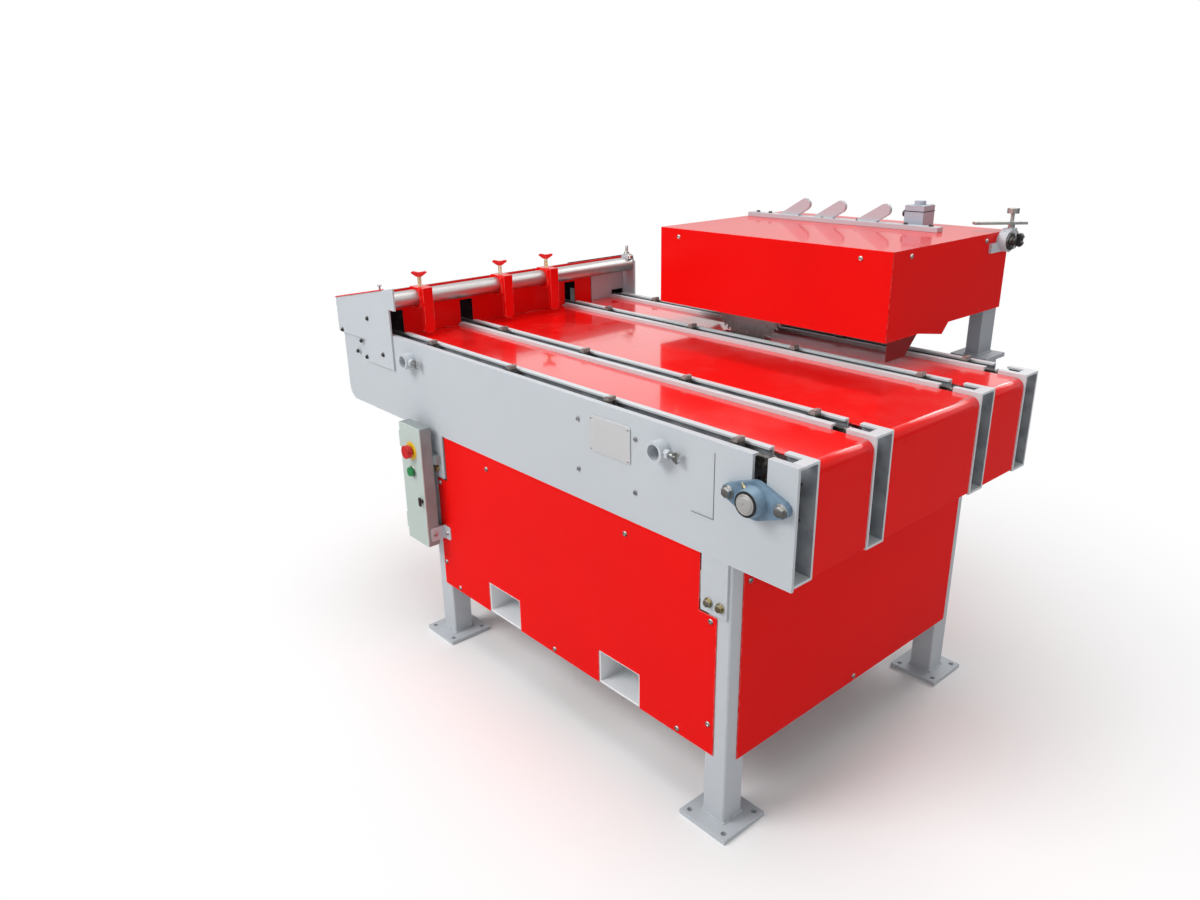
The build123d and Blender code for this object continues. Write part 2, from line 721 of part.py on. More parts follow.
# Receivers for an outrigger bar: short bored tubes with a side boss for the set screw
receivers = []
screw_y = -plate_t - receiver_len / 2
boss_end = receiver_r + receiver_boss_len
for i, x in enumerate(receiver_x):
    y0, y1 = -plate_t - receiver_len, -plate_t
    body = rod_y(x, y0, y1, receiver_z, receiver_r)
    body += prism_x(x, x + boss_end, screw_y, receiver_z, receiver_boss_r, 6)
    body -= rod_y(x, y0 - past, y1, receiver_z, receiver_bore_r)
    body -= prism_x(x, x + boss_end + past, screw_y, receiver_z, receiver_screw_r + finger_screw_gap, 12)
    receivers.append(body)
    screw = wing_screw(44, receiver_screw_r, 26, 18, 8)
    screw_seat = Pos(x + receiver_bore_r + past, screw_y, receiver_z)
    nodes[f"receiver_screw_{i + 1}"] = screw_seat * Rot(0, 90, 0) * screw
nodes["bar_receivers"] = receivers

# Push-button box, open at the front, on two bracket bars in front of the leg
bx0 = far_x - box_hang
bx1 = bx0 + box_w
by0, by1 = box_front + door_t + fit, box_front + box_depth
bz0 = leg_top - box_drop
bz1 = bz0 + box_h
case = block(bx0, bx1, by0, by1, bz0, bz1)
case -= block(bx0 + box_wall, bx1 - box_wall, by0 - past, by1 - box_wall, bz0 + box_wall, bz1 - box_wall)
case += block(far_x + leg_edge, left - leg_edge, by1, 0, bz0 + bracket_low, bz0 + bracket_low + bracket_h)
high_z = bz1 - bracket_high
case += block(far_x + tab_near + bracket_inset, bx1 + bracket_out, by1, -plate_t, high_z, high_z + bracket_h)
nodes["control_box"] = case
button_x = bx0 + box_w / 2 + button_row
stop_z, start_z, latch_z = bz1 - stop_down, bz1 - start_down, bz1 - latch_down
latch_x = bx1 - latch_edge
door = block(bx0, bx1, box_front, box_front + door_t, bz0, bz1)
door_holes = ((button_x, stop_z, button_stem_r), (button_x, start_z, button_stem_r),
              (latch_x, latch_z, latch_r))
for x, z, r in door_holes:
    door -= rod_y(x, box_front - past, box_front + door_t + past, z, r + fit)
hinge_x, hinge_y = bx0 - barrel_r - 0.5, box_front + barrel_r
for z0 in (bz0 + barrel_len * 0.6, bz1 - barrel_len * 1.6):
    door += prism_z(hinge_x, hinge_y, z0, z0 + barrel_len, barrel_r, 12)
    door += block(hinge_x, bx0 + 2 * barrel_r, box_front, box_front + door_t, z0, z0 + barrel_len)
nodes["control_door"] = door


def push_button(z, r, h, lift):
    # Head of height h standing off the door, on a stem through it
    stem = prism_y(button_x, box_front - lift - past, box_front + button_stem_in, z, button_stem_r, 16)
    return stem + prism_y(button_x, box_front - lift - h, box_front - lift, z, r, 32)


nodes["stop_button"] = push_button(stop_z, stop_r, stop_h, stop_lift)
nodes["start_button"] = push_button(start_z, start_r, start_h, start_lift)
latch = prism_y(latch_x, box_front - latch_r, box_front + latch_in, latch_z, latch_r, 16)
grip_y = box_front - latch_r
cam_y = box_front + latch_in
latch += block(latch_x - 5, latch_x + 5, grip_y - 5, grip_y, latch_z - 13, latch_z + 13)
latch += block(latch_x - latch_r, latch_x + latch_r, cam_y - 4, cam_y, latch_z - 22, latch_z)
nodes["door_latch"] = latch

# Saw stand: bracket beams behind the rear rail, base plates and columns bored for the pivot shaft
col_y0, col_y1 = pivot_y - column_y / 2, pivot_y + column_y / 2
column_right = hood_right - hood_t - column_gap
column_left = hood_left + hood_t + column_gap + column_x
beam_top = column_base_z - foot_t
beam_bottom = beam_top - stand_beam_h
flange_bottom = beam_top - stand_flange_down
crown = hood_top - hood_t - crown_gap
brace = [(rear_face, beam_bottom), (rear_face, flange_bottom), (rear_face + 3 * stand_rib, flange_bottom),
         (col_y0, beam_bottom)]
column = [(col_y0, column_base_z), (col_y1, column_base_z), (col_y1, crown - crown_slope),
          (pivot_y + 8, crown), (col_y0, crown)]
stand = []
for x1 in (column_right, column_left):
    x0 = x1 - column_x
    mid = (x0 + x1) / 2
    piece = block(mid - stand_beam_w / 2, mid + stand_beam_w / 2, rear_face, col_y1 + foot_t,
                  beam_bottom, beam_top)
    piece += block(mid - stand_plate_w / 2, mid + stand_plate_w / 2, col_y0 - stand_plate_lap,
                   col_y1 + stand_plate_lap, beam_top, column_base_z)
    piece += block(mid - stand_flange_w / 2, mid + stand_flange_w / 2, rear_face, rear_face + stand_flange_t,
                   flange_bottom, beam_top + stand_flange_up)
    piece += plate_yz(brace, mid - stand_rib / 2, mid + stand_rib / 2)
    piece += plate_yz(column, x0, x1)
    piece -= rod_x(x0 - past, x1 + past, pivot_y, pivot_z, pivot_r + running_fit)
    stand.append(piece)
nodes["saw_stand"] = stand
shaft_right = hood_right + pivot_end
nodes["pivot_shaft"] = rod_x(hood_left - pivot_start, shaft_right, pivot_y, pivot_z, pivot_r)

# Swing frame: hubs on the pivot shaft, side arms, base plate and two ties to the hood
inner_right = column_right - column_x - arm_offset
inner_left = column_left + arm_offset
base_z0 = hood_bottom + base_lift
base_z1 = base_z0 + base_t
base_y0 = hood_front_y + base_front
base_y1 = pivot_y - base_rear_gap
arm_top = pivot_z + hub_r - 4
arm = [(base_y0, base_z1), (base_y0, base_z1 + arm_low), (base_y0 + arm_mid_y, base_z1 + arm_mid),
       (pivot_y - 60, arm_top), (pivot_y, arm_top), (pivot_y + 14, pivot_z - hub_r), (base_y1, base_z1)]
frame = block(inner_left, inner_right, base_y0, base_y1, base_z0, base_z1)
for x0 in (inner_left, inner_right - arm_t):
    frame += plate_yz(arm, x0, x0 + arm_t)
for x0, x1 in ((inner_right - hub_in, inner_right + hub_out), (inner_left - hub_out, inner_left + hub_in)):
    frame += prism_x(x0, x1, pivot_y, pivot_z, hub_r, 16)
tie_y = base_y0 + tie_inset
for x0, x1 in ((hood_left + hood_t, inner_left + past), (inner_right - past, hood_right - hood_t)):
    frame += block(x0, x1, tie_y, tie_y + tie_w, base_z1, base_z1 + tie_w)
frame -= rod_x(hood_left, hood_right, pivot_y, pivot_z, pivot_r + fit)
nodes["swing_frame"] = frame

# Hood: separate front sheet, shell with stepped sides, and a dust flap inside the outfeed side
nodes["hood_front"] = block(hood_left, hood_right, hood_front_y, hood_front_y + hood_t, hood_bottom, hood_top)
shell_y0 = hood_front_y + hood_t
step_y0 = hood_front_y + hood_step_y
step_y1 = step_y0 + hood_step_len
side_line = [(shell_y0, hood_bottom), (step_y0, hood_bottom), (step_y1, hood_bottom - hood_step_drop),
             (step_y1 + hood_step_end, hood_rear_bottom), (hood_rear_y, hood_rear_bottom),
             (hood_rear_y, hood_top), (shell_y0, hood_top)]
shell = block(hood_left, hood_right, shell_y0, hood_rear_y, hood_top - hood_t, hood_top)
for x0 in (hood_left, hood_right - hood_t):
    panel = plate_yz(side_line, x0, x0 + hood_t)
    shell += panel - rod_x(x0 - past, x0 + hood_t + past, pivot_y, pivot_z, pivot_r + past)
notch = column_x + 10
notch_z = pivot_z + 8
rear_line = [(hood_left + notch, hood_rear_bottom), (hood_right - notch, hood_rear_bottom),
             (hood_right - notch, notch_z), (hood_right, notch_z), (hood_right, hood_top),
             (hood_left, hood_top), (hood_left, notch_z), (hood_left + notch, notch_z)]
shell += plate_xz(rear_line, hood_rear_y - hood_t, hood_rear_y)
flap_y0, flap_y1 = hood_front_y + flap_front, hood_front_y + flap_front + flap_len
flap_bottom = hood_bottom - flap_hang
flap_line = [(flap_y0, flap_bottom), (flap_y0 + flap_low, flap_bottom), (flap_y1, hood_bottom),
             (flap_y1, hood_bottom + flap_lap), (flap_y0, hood_bottom + flap_lap)]
nodes["dust_flap"] = plate_yz(flap_line, hood_right - hood_t - column_gap, hood_right - hood_t)
motor_front = pulley_y + pulley_w + motor_gap
box_mid = motor_x + terminal_off
box_x0, box_x1 = box_mid - terminal_w / 2, box_mid + terminal_w / 2
box_y0 = motor_front + terminal_back
box_y1 = box_y0 + terminal_w
shell -= block(box_x0 - terminal_gap, box_x1 + terminal_gap, box_y0 - terminal_gap, box_y1 + terminal_gap,
               hood_top - hood_t - past, hood_top + past)
nodes["hood_shell"] = shell

# Bar along the hood top, before the terminal box, with three slanted round-ended arms
arm_y0, arm_y1 = hood_rear_y - slant_y[0], hood_rear_y - slant_y[1]
bar_top = hood_top + top_bar_h
top_bar = block(hood_left + top_bar_x[0], hood_right - top_bar_x[1], hood_rear_y - top_bar_y[0],
                hood_rear_y - top_bar_y[1], hood_top, bar_top)
slant = hypot(slant_run, slant_rise)
nx, nz = -slant_rise / slant * slant_r, slant_run / slant * slant_r
base_run = slant_r * slant / slant_rise
for x in slant_x:
    xb, xt, zt = hood_left + x, hood_left + x + slant_run, bar_top + slant_rise
    lean = [(xb - base_run, bar_top), (xb + base_run, bar_top), (xt - nx, zt - nz), (xt + nx, zt + nz)]
    top_bar += plate_xz(lean, arm_y0, arm_y1) + rod_y(xt, arm_y0, arm_y1, zt, slant_r)
nodes["hood_top_bar"] = top_bar

# Round split clamp on the outfeed end of the pivot shaft, tightened by a screw with a flat lever and knob
cl_x0, cl_x1 = hood_right, shaft_right - 6
cl_mid = (cl_x0 + cl_x1) / 2
clamp_y = pivot_y + pivot_r + clamp_screw_y
clamp = rod_x(cl_x0, cl_x1, pivot_y, pivot_z, clamp_r)
clamp += block(cl_x0, cl_x1, pivot_y, clamp_y + clamp_cheek, pivot_z - clamp_low, pivot_z + clamp_high)
clamp += block(cl_x0, cl_x0 + clamp_arm_t, pivot_y - clamp_arm, pivot_y, pivot_z - clamp_arm_z[0],
               pivot_z - clamp_arm_z[1])
clamp -= rod_x(cl_x0 - past, cl_x1 + past, pivot_y, pivot_z, pivot_r + fit)
clamp -= block(cl_x0 - past, cl_x1 + past, pivot_y + pivot_r - clamp_split, clamp_y + 2 * clamp_cheek,
               pivot_z - clamp_split / 2, pivot_z + clamp_split / 2)
screw_low = pivot_z - clamp_screw_in
clamp_bore = clamp_screw_r + finger_screw_gap
clamp -= prism_z(cl_mid, clamp_y, screw_low, pivot_z + clamp_high + past, clamp_bore, 12)
nodes["pivot_clamp"] = clamp
lever_z = pivot_z + lever_rise
screw = prism_z(0, 0, screw_low + fit, lever_z + knob_lift + past, clamp_screw_r, 12)
screw += prism_z(0, 0, pivot_z + clamp_high + fit, lever_z, lever_collar_r, 16)
screw += Rot(0, 0, 45) * block(-lever_x[0], lever_x[1], -lever_w / 2, lever_w / 2, lever_z, lever_z + lever_t)
screw += prism_z(0, 0, lever_z + knob_lift, lever_z + knob_lift + knob_h, knob_r, 20)
nodes["clamp_screw"] = Pos(cl_mid, clamp_y, 0) * screw

# Arbor in its housing, with flanges either side of the blade
house = prism_y(arbor_x, housing_y0, housing_y1, arbor_z, housing_r, 24)
foot_line = [(housing_foot, base_z1), (housing_foot, base_z1 + housing_foot_t), (housing_neck, arbor_z)]
foot_line += [(-x, z) for x, z in reversed(foot_line)]
house += plate_xz([(arbor_x + x, z) for x, z in foot_line], housing_y0 + housing_foot_inset, housing_y1 - 6)
house -= rod_y(arbor_x, housing_y0 - past, housing_y1 + past, arbor_z, arbor_r + fit)
nodes["arbor_housing"] = house
face_y0, face_y1 = blade_y - blade_t / 2, blade_y + blade_t / 2
arbor = rod_y(arbor_x, blade_y - arbor_nose, pulley_y + pulley_w + 4, arbor_z, arbor_r)
arbor += prism_y(arbor_x, face_y1, face_y1 + flange_t, arbor_z, flange_r, 32)
arbor += prism_y(arbor_x, face_y0 - washer_t, face_y0, arbor_z, flange_r, 32)
arbor += prism_y(arbor_x, face_y0 - washer_t - nut_t, face_y0 - washer_t, arbor_z, nut_r, 6)
nodes["arbor"] = arbor
ring = []
root = blade_r - tooth_depth
for k in range(blade_teeth):
    for da, r in ((0.0, blade_r), (0.12, root), (0.6, root + past)):
        a = (k + da) * 2 * pi / blade_teeth
        ring.append((arbor_x + r * cos(a), arbor_z + r * sin(a)))
disc = plate_xz(ring, face_y0, face_y1)
nodes["blade"] = disc - rod_y(arbor_x, face_y0 - past, face_y1 + past, arbor_z, arbor_r + running_fit)

# Belt drive: two plain ribbed-belt pulleys and the belt drawn tight round them
pulley_y1 = pulley_y + pulley_w
wheel = rod_y(arbor_x, pulley_y, pulley_y1, arbor_z, arbor_pulley_r)
wheel -= rod_y(arbor_x, pulley_y - past, pulley_y1 + past, arbor_z, arbor_r + running_fit)
nodes["arbor_pulley"] = wheel
wheel = rod_y(motor_x, pulley_y, pulley_y1, motor_z, motor_pulley_r)
wheel += prism_y(motor_x, pulley_y1, motor_front + motor_flange_t, motor_z, motor_shaft_r, 16)
nodes["motor_pulley"] = wheel


def belt_prism(lift):
    # Solid inside a loop drawn tight round both pulleys, lift outside their faces
    span = hypot(motor_x - arbor_x, motor_z - arbor_z)
    heading = atan2(motor_z - arbor_z, motor_x - arbor_x)
    lean = acos((arbor_pulley_r - motor_pulley_r) / span)
    wraps = ((motor_x, motor_z, motor_pulley_r + lift, heading - lean, heading + lean),
             (arbor_x, arbor_z, arbor_pulley_r + lift, heading + lean, heading - lean + 2 * pi))
    rim = []
    for x, z, r, start, stop in wraps:
        step = (stop - start) / belt_steps
        for k in range(belt_steps + 1):
            a = start + step * k
            rim.append((x + r / cos(step / 2) * cos(a), z + r / cos(step / 2) * sin(a)))
    y0 = pulley_y + (pulley_w - belt_w) / 2
    return plate_xz(rim, y0, y0 + belt_w)


nodes["drive_belt"] = belt_prism(belt_gap + belt_t) - belt_prism(belt_gap)

# Finned motor on feet, fan cover to the rear, terminal box standing through the hood top
fin_y0, fin_y1 = motor_front + motor_flange_t, pivot_y - pivot_r - 8 - fan_len
ribbed = []
fin_root = motor_r - fin_h
half_fin, half_root = fin_t / 2 / motor_r, fin_t / 2 / fin_root
for k in range(fins):
    for da, r in ((-half_root, fin_root), (-half_fin, motor_r), (half_fin, motor_r), (half_root, fin_root)):
        a = (k + 0.5) * 2 * pi / fins + da
        ribbed.append((motor_x + r * cos(a), motor_z + r * sin(a)))
body = plate_xz(ribbed, fin_y0, fin_y1)
body += prism_y(motor_x, motor_front, fin_y0, motor_z, motor_r - 4, 32)
body += prism_y(motor_x, fin_y1, fin_y1 + fan_len, motor_z, motor_r - 2, 32)
for s in (-1, 1):
    foot_mid = motor_x + s * motor_foot_x
    body += block(foot_mid - motor_foot_w / 2, foot_mid + motor_foot_w / 2, fin_y0 + 10, fin_y1 - 14, base_z1,
                  motor_z - motor_r / 2)
terminal_top = hood_top + terminal_rise
body += block(box_x0, box_x1, box_y0, box_y1, motor_z + motor_r - 2 * fin_h, terminal_top)
body += prism_z(box_mid, (box_y0 + box_y1) / 2, terminal_top, terminal_top + knockout_h, knockout_r, 24)
body -= rod_y(motor_x, motor_front - past, fin_y0 + motor_gap / 2, motor_z, motor_shaft_r + fit)
nodes["saw_motor"] = body

# Take-up lock: hand screw behind the rear rail, beside the outfeed column
lock = Pos(lock_x, rear_face + fit, rail_top - lock_drop) * Rot(-90, 0, 0) * wing_screw(48, 6, 46, 22, 10)
nodes["takeup_handle"] = lock

# Move the whole machine so that its footprint is centred on the origin
solids = [s for part in nodes.values() for s in (part if isinstance(part, list) else [part])]
boxes = [s.bounding_box() for s in solids]
shift_x = -(min(b.min.X for b in boxes) + max(b.max.X for b in boxes)) / 2
shift_y = -(min(b.min.Y for b in boxes) + max(b.max.Y for b in boxes)) / 2
os.makedirs("parts", exist_ok=True)
for name, part in nodes.items():
    pieces = part if isinstance(part, list) else [part]
    moved = [Pos(shift_x, shift_y, 0) * s for piece in pieces for s in piece.solids()]
    export_step(moved[0] if len(moved) == 1 else Compound(children=moved), f"parts/{name}.step")
print(len(nodes), "nodes, shift", round(shift_x, 3), round(shift_y, 3))
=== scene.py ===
import math
import bpy
from mathutils import Matrix, Vector


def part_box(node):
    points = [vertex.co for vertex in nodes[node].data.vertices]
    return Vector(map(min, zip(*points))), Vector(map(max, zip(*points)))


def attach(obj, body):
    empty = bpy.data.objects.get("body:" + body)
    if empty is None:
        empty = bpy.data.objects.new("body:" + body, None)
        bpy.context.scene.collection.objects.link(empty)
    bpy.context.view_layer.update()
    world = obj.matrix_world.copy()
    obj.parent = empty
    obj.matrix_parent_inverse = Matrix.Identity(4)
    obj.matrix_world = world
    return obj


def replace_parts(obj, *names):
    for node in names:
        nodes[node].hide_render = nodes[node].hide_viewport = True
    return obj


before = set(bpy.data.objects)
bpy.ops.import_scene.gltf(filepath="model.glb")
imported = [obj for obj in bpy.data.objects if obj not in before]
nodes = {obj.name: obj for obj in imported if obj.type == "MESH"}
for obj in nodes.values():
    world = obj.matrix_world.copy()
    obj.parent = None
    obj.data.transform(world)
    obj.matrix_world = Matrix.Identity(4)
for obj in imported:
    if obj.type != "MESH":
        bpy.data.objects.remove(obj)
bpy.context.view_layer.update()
bpy.ops.object.select_all(action="DESELECT")
print("frame loaded:", len(nodes), "CAD nodes")


# camera, light and floor

cameraSet = {
    "place": (1.84932, -1.91360, 1.55670),
    "azimuth": 49.072, "pitch": 20.370, "roll": -1.0133,
    "lens": 27.362, "sensor": 36.0, "far": 200,
}


def addCamera(c):
    turn, tilt, lean = (math.radians(c[k]) for k in ("azimuth", "pitch", "roll"))
    back = Vector((math.sin(turn) * math.cos(tilt), -math.cos(turn) * math.cos(tilt), math.sin(tilt)))
    side = Vector((math.cos(turn), math.sin(turn), 0))
    up = back.cross(side)
    across = side * math.cos(lean) + up * math.sin(lean)
    tall = up * math.cos(lean) - side * math.sin(lean)
    axes = Matrix((across, tall, back)).transposed().to_4x4()
    bpy.ops.object.camera_add()
    camera = bpy.context.object
    camera.name = "photoCamera"
    camera.matrix_world = Matrix.Translation(c["place"]) @ axes
    camera.data.lens = c["lens"]
    camera.data.sensor_width = c["sensor"]
    camera.data.clip_end = c["far"]
    bpy.context.scene.camera = camera


class Wire:  # a socket that can stand in a sum
    def __init__(self, board, socket):
        self.board = board
        self.socket = socket

    def math(self, kind, a, b):
        return self.board.add("Math", {"operation": kind}, {0: a, 1: b})

    def __add__(self, other):
        return self.math("ADD", self, other)

    def __sub__(self, other):
        return self.math("SUBTRACT", self, other)

    def __rsub__(self, other):
        return self.math("SUBTRACT", other, self)

    def __mul__(self, other):
        return self.math("MULTIPLY", self, other)

    __radd__ = __add__
    __rmul__ = __mul__


class Board:  # one node tree and the ways to fill it
    def __init__(self, tree):
        self.tree = tree

    def add(self, kind, settings=None, sockets=None, out=0):
        node = self.tree.nodes.new("ShaderNode" + kind)
        for key, value in (settings or {}).items():
            setattr(node, key, value)
        for key, value in (sockets or {}).items():
            self.feed(node.inputs[key], value)
        return Wire(self, node.outputs[out])

    def feed(self, socket, value):
        if isinstance(value, Wire):
            self.tree.links.new(value.socket, socket)
        elif socket.type == "RGBA":
            socket.default_value = (*value, 1)
        else:
            socket.default_value = value

    def mix(self, factor, a, b):  # sockets 6 and 7 of the node are its colours
        return self.add("Mix", {"data_type": "RGBA"}, {0: factor, 6: a, 7: b}, out=2)

    def step(self, value, low, high):  # 0 below low, 1 above high, smooth between
        ins = {"Value": value, "From Min": low, "From Max": high}
        return self.add("MapRange", {"interpolation_type": "SMOOTHSTEP"}, ins)

    def length(self, vector):
        return self.add("VectorMath", {"operation": "LENGTH"}, {0: vector}, out="Value")

    def ray(self, kind):  # 1 for rays of one kind
        return self.add("LightPath", out="Is %s Ray" % kind)

    def seen(self):  # 1 for what the camera sees
        return self.add("Clamp", None, {0: self.ray("Camera") + self.ray("Transmission")})


studioSet = {
    "ambient": 0.40,  # what the room gives to everything
    "gloss": (0.16, 1.0),  # what shines back from the walls and from the ceiling
    "horizon": (-0.05, 0.25),  # where the walls pass into the ceiling
    "floor": (0.93, 0.93, 0.93), "floorRough": 0.9, "floorSize": 60,
    "pale": (0.7, 2.2),  # metres out, where the floor passes into white
    "aim": (0, 0, 0.7),
    "lamps": [  # name, place, size, watts
        ("keyLamp", (-1.6, -4.6, 4.4), 3.2, 205),
        ("fillLamp", (4.8, -1.2, 2.6), 2.6, 14),
        ("backLamp", (0.4, 4.2, 3.8), 3.0, 80),
        ("topLamp", (0.1, -0.2, 5.2), 3.6, 82),
    ],
}


def addWorld(s):
    world = bpy.data.worlds.new("studio")
    world.use_nodes = True
    bpy.context.scene.world = world
    b = Board(world.node_tree)
    back = world.node_tree.nodes["Background"]
    seen = b.seen()
    height = b.add("SeparateXYZ", None, {0: b.add("TexCoord", out="Generated")}, out="Z")
    walls, ceiling = s["gloss"]
    shine = b.ray("Glossy") * (walls - s["ambient"] + (ceiling - walls) * b.step(height, *s["horizon"]))
    b.feed(back.inputs["Color"], (1, 1, 1))
    b.feed(back.inputs["Strength"], s["ambient"] + (1 - s["ambient"]) * seen + shine * (1 - seen))


def addLamps(s):
    for name, place, size, watts in s["lamps"]:
        bpy.ops.object.light_add(type="AREA", location=place)
        lamp = bpy.context.object
        lamp.name = name
        lamp.rotation_euler = (Vector(s["aim"]) - Vector(place)).to_track_quat("-Z", "Y").to_euler()
        lamp.data.shape = "DISK"
        lamp.data.size = size
        lamp.data.energy = watts


def addFloor(s):
    bpy.ops.mesh.primitive_plane_add(size=s["floorSize"], location=(0, 0, 0))
    floor = bpy.context.object
    floor.name = "studioFloor"
    mat = bpy.data.materials.new("paleFloor")
    mat.use_nodes = True
    b = Board(mat.node_tree)
    shader = mat.node_tree.nodes["Principled BSDF"]
    b.feed(shader.inputs["Base Color"], s["floor"])
    b.feed(shader.inputs["Roughness"], s["floorRough"])
    seen = b.seen()
    pale = b.step(b.length(b.add("TexCoord", out="Object")), *s["pale"]) * seen
    white = b.add("Emission", None, {"Color": (1, 1, 1), "Strength": 1.0})
    dim = b.add("Emission", None, {"Color": (1, 1, 1), "Strength": s["gloss"][0]})
    mixed = b.add("MixShader", None, {0: pale, 1: Wire(b, shader.outputs[0]), 2: white})
    mixed = b.add("MixShader", None, {0: b.ray("Glossy") * (1 - seen), 1: mixed, 2: dim})
    b.feed(mat.node_tree.nodes["Material Output"].inputs["Surface"], mixed)
    floor.data.materials.append(mat)


bpy.context.scene.view_settings.view_transform = "Standard"
addCamera(cameraSet)
addWorld(studioSet)
addLamps(studioSet)
addFloor(studioSet)
print("camera, lamps and floor set")


# finishes: a patch is scale, detail, low, high and maybe roughness, a grain has no low and high

class Finish(Board):  # a material with its shader and its own coordinates
    names = {"colour": "Base Color", "rough": "Roughness", "metal": "Metallic", "normal": "Normal",
             "coat": "Coat Weight", "coatRough": "Coat Roughness", "gloss": "Specular IOR Level"}

    def __init__(self, name, **fixed):
        self.mat = bpy.data.materials.new(name)
        self.mat.use_nodes = True
        super().__init__(self.mat.node_tree)
        self.shader = self.tree.nodes["Principled BSDF"]
        self.spot = self.add("TexCoord", out="Object")
        self.facing = self.add("NewGeometry", out="Normal")
        for key, value in fixed.items():
            self.set(key, value)

    def set(self, key, value):
        self.feed(self.shader.inputs[self.names[key]], value)

    def grain(self, scale, detail=2.0, rough=0.5, stretch=None):
        spot = self.spot
        if stretch:
            spot = self.add("Mapping", None, {"Vector": spot, "Scale": stretch})
        ins = {"Vector": spot, "Scale": scale, "Detail": detail, "Roughness": rough}
        return self.add("TexNoise", None, ins)

    def patch(self, scale, detail, low, high, rough=0.5):
        return self.step(self.grain(scale, detail, rough), low, high)

    def part(self, vector, axis):  # one of X, Y, Z of a vector
        return self.add("SeparateXYZ", None, {0: vector}, out=axis)

    def upward(self, low, high):  # 1 on faces that look up
        return self.step(self.part(self.facing, "Z"), low, high)

    def edges(self, width, turned=(0.01, 0.16)):  # 1 along sharp edges
        eased = self.add("Bevel", {"samples": 4}, {"Radius": width})
        same = self.add("VectorMath", {"operation": "DOT_PRODUCT"}, {0: eased, 1: self.facing}, out="Value")
        return self.step(1 - same, *turned)

    def bump(self, height, depth):
        ins = {"Height": height, "Strength": 1.0, "Distance": depth}
        self.set("normal", self.add("Bump", None, ins))


# the edge colours are pale: worn paint, and a painted highlight along the edges
redPaint, redDeep, redEdgeWearAndHighlight = (0.84, 0.005, 0.004), (0.72, 0.004, 0.004), (0.90, 0.44, 0.40)
greyPaint, greyDeep, greyEdgeWearAndHighlight = (0.53, 0.565, 0.60), (0.48, 0.515, 0.55), (0.80, 0.82, 0.84)

enamelSet = {
    "cloud": (1.7, 2, 0.30, 0.75), "fleck": (700, 2, 0.45, 0.60),
    "edge": 0.0016, "wear": (60, 4, 0.36, 0.58),
    "upward": (0.6, 0.95), "dust": (6, 5, 0.45, 0.80, 0.6), "dustTone": (0.62, 0.58, 0.54),
    "troughShadeBlots": (18, 4, 0.3, 0.7), "troughShadeTone": (0.16, 0.175, 0.20),
    "level": (0.90, 0.98), "coatRough": 0.06, "peel": (300, 1.5), "peelDepth": 0.00008,
}


def enamel(name, colour, deep, edge, rough, gloss=0.30, polish=0.0, inside=None):
    c = enamelSet
    f = Finish(name, coatRough=c["coatRough"], gloss=gloss)
    cloud = f.patch(*c["cloud"])
    tone = f.mix(cloud * 0.45 + f.patch(*c["fleck"]) * 0.10, colour, deep)
    if inside:  # painted shade inside the rail troughs, in uneven blotches
        tone = f.mix(inside(f) * (0.55 + 0.35 * f.patch(*c["troughShadeBlots"])), tone, c["troughShadeTone"])
    # edges lighter: paint worn through, and a painted highlight
    edgeWearAndHighlight = f.edges(c["edge"]) * f.patch(*c["wear"])
    dust = f.upward(*c["upward"]) * f.patch(*c["dust"])
    f.set("colour", f.mix(edgeWearAndHighlight * 0.8, f.mix(dust * 0.05, tone, c["dustTone"]), edge))
    f.set("rough", rough + 0.04 * cloud + 0.06 * dust + 0.15 * edgeWearAndHighlight)
    if polish:  # boards keep the top bright
        f.set("coat", polish * f.upward(*c["level"]))
    f.bump(f.grain(*c["peel"]), c["peelDepth"])
    return f.mat


boxPaintSet = {
    "body": (0.29, 0.32, 0.325), "deep": (0.24, 0.27, 0.275), "edgeTone": (0.55, 0.57, 0.57),
    "cloud": (14, 3, 0.35, 0.7), "edge": 0.0012, "wear": (90, 3, 0.42, 0.6),
    "rough": 0.42, "gloss": 0.25, "peel": (320, 2), "peelDepth": 0.00010,
}


def boxEnamel(c):  # the dark body behind the pale door
    f = Finish("boxEnamel", gloss=c["gloss"])
    cloud = f.patch(*c["cloud"])
    # edges lighter: paint worn through, and a painted highlight
    edgeWearAndHighlight = f.edges(c["edge"]) * f.patch(*c["wear"])
    f.set("colour", f.mix(edgeWearAndHighlight * 0.6, f.mix(cloud, c["body"], c["deep"]), c["edgeTone"]))
    f.set("rough", c["rough"] + 0.08 * cloud)
    f.bump(f.grain(*c["peel"]), c["peelDepth"])
    return f.mat


hopperPaintSet = {
    "hopperShadeTones": ((0.018, 0.018, 0.024), (0.035, 0.033, 0.040)), "blot": (24, 4, 0.4, 0.7),
    "rough": 0.24, "gloss": 0.18, "level": (0.90, 0.97),
}


def hopperEnamel(name, colour, deep, inside, polish=0.0):  # painted shade: near-black, blotched, on the faces inside the hopper
    c, e = hopperPaintSet, enamelSet
    f = Finish(name, coatRough=e["coatRough"], gloss=c["gloss"])
    cloud = f.patch(*e["cloud"])
    # edges lighter: paint worn through, and a painted highlight
    edgeWearAndHighlight = f.edges(e["edge"]) * f.patch(*e["wear"])
    paint = f.mix(edgeWearAndHighlight * 0.7, f.mix(cloud * 0.45, colour, deep), redEdgeWearAndHighlight)
    # the inside faces get the painted shade
    f.set("colour", f.mix(inside(f), paint, f.mix(f.patch(*c["blot"]), *c["hopperShadeTones"])))
    f.set("rough", c["rough"] + 0.30 * inside(f) + 0.04 * cloud)
    if polish:
        f.set("coat", polish * f.upward(*c["level"]))
    f.bump(f.grain(*e["peel"]), e["peelDepth"])
    return f.mat


groundSet = {
    "colour": (0.56, 0.54, 0.53), "dark": (0.34, 0.33, 0.33), "rough": 0.24, "mark": 0.22,
    "lines": (240, 3, 0.6, (1, 0.04, 1)), "stain": (9, 5, 0.45, 0.75, 0.6), "lineDepth": 0.00006,
}


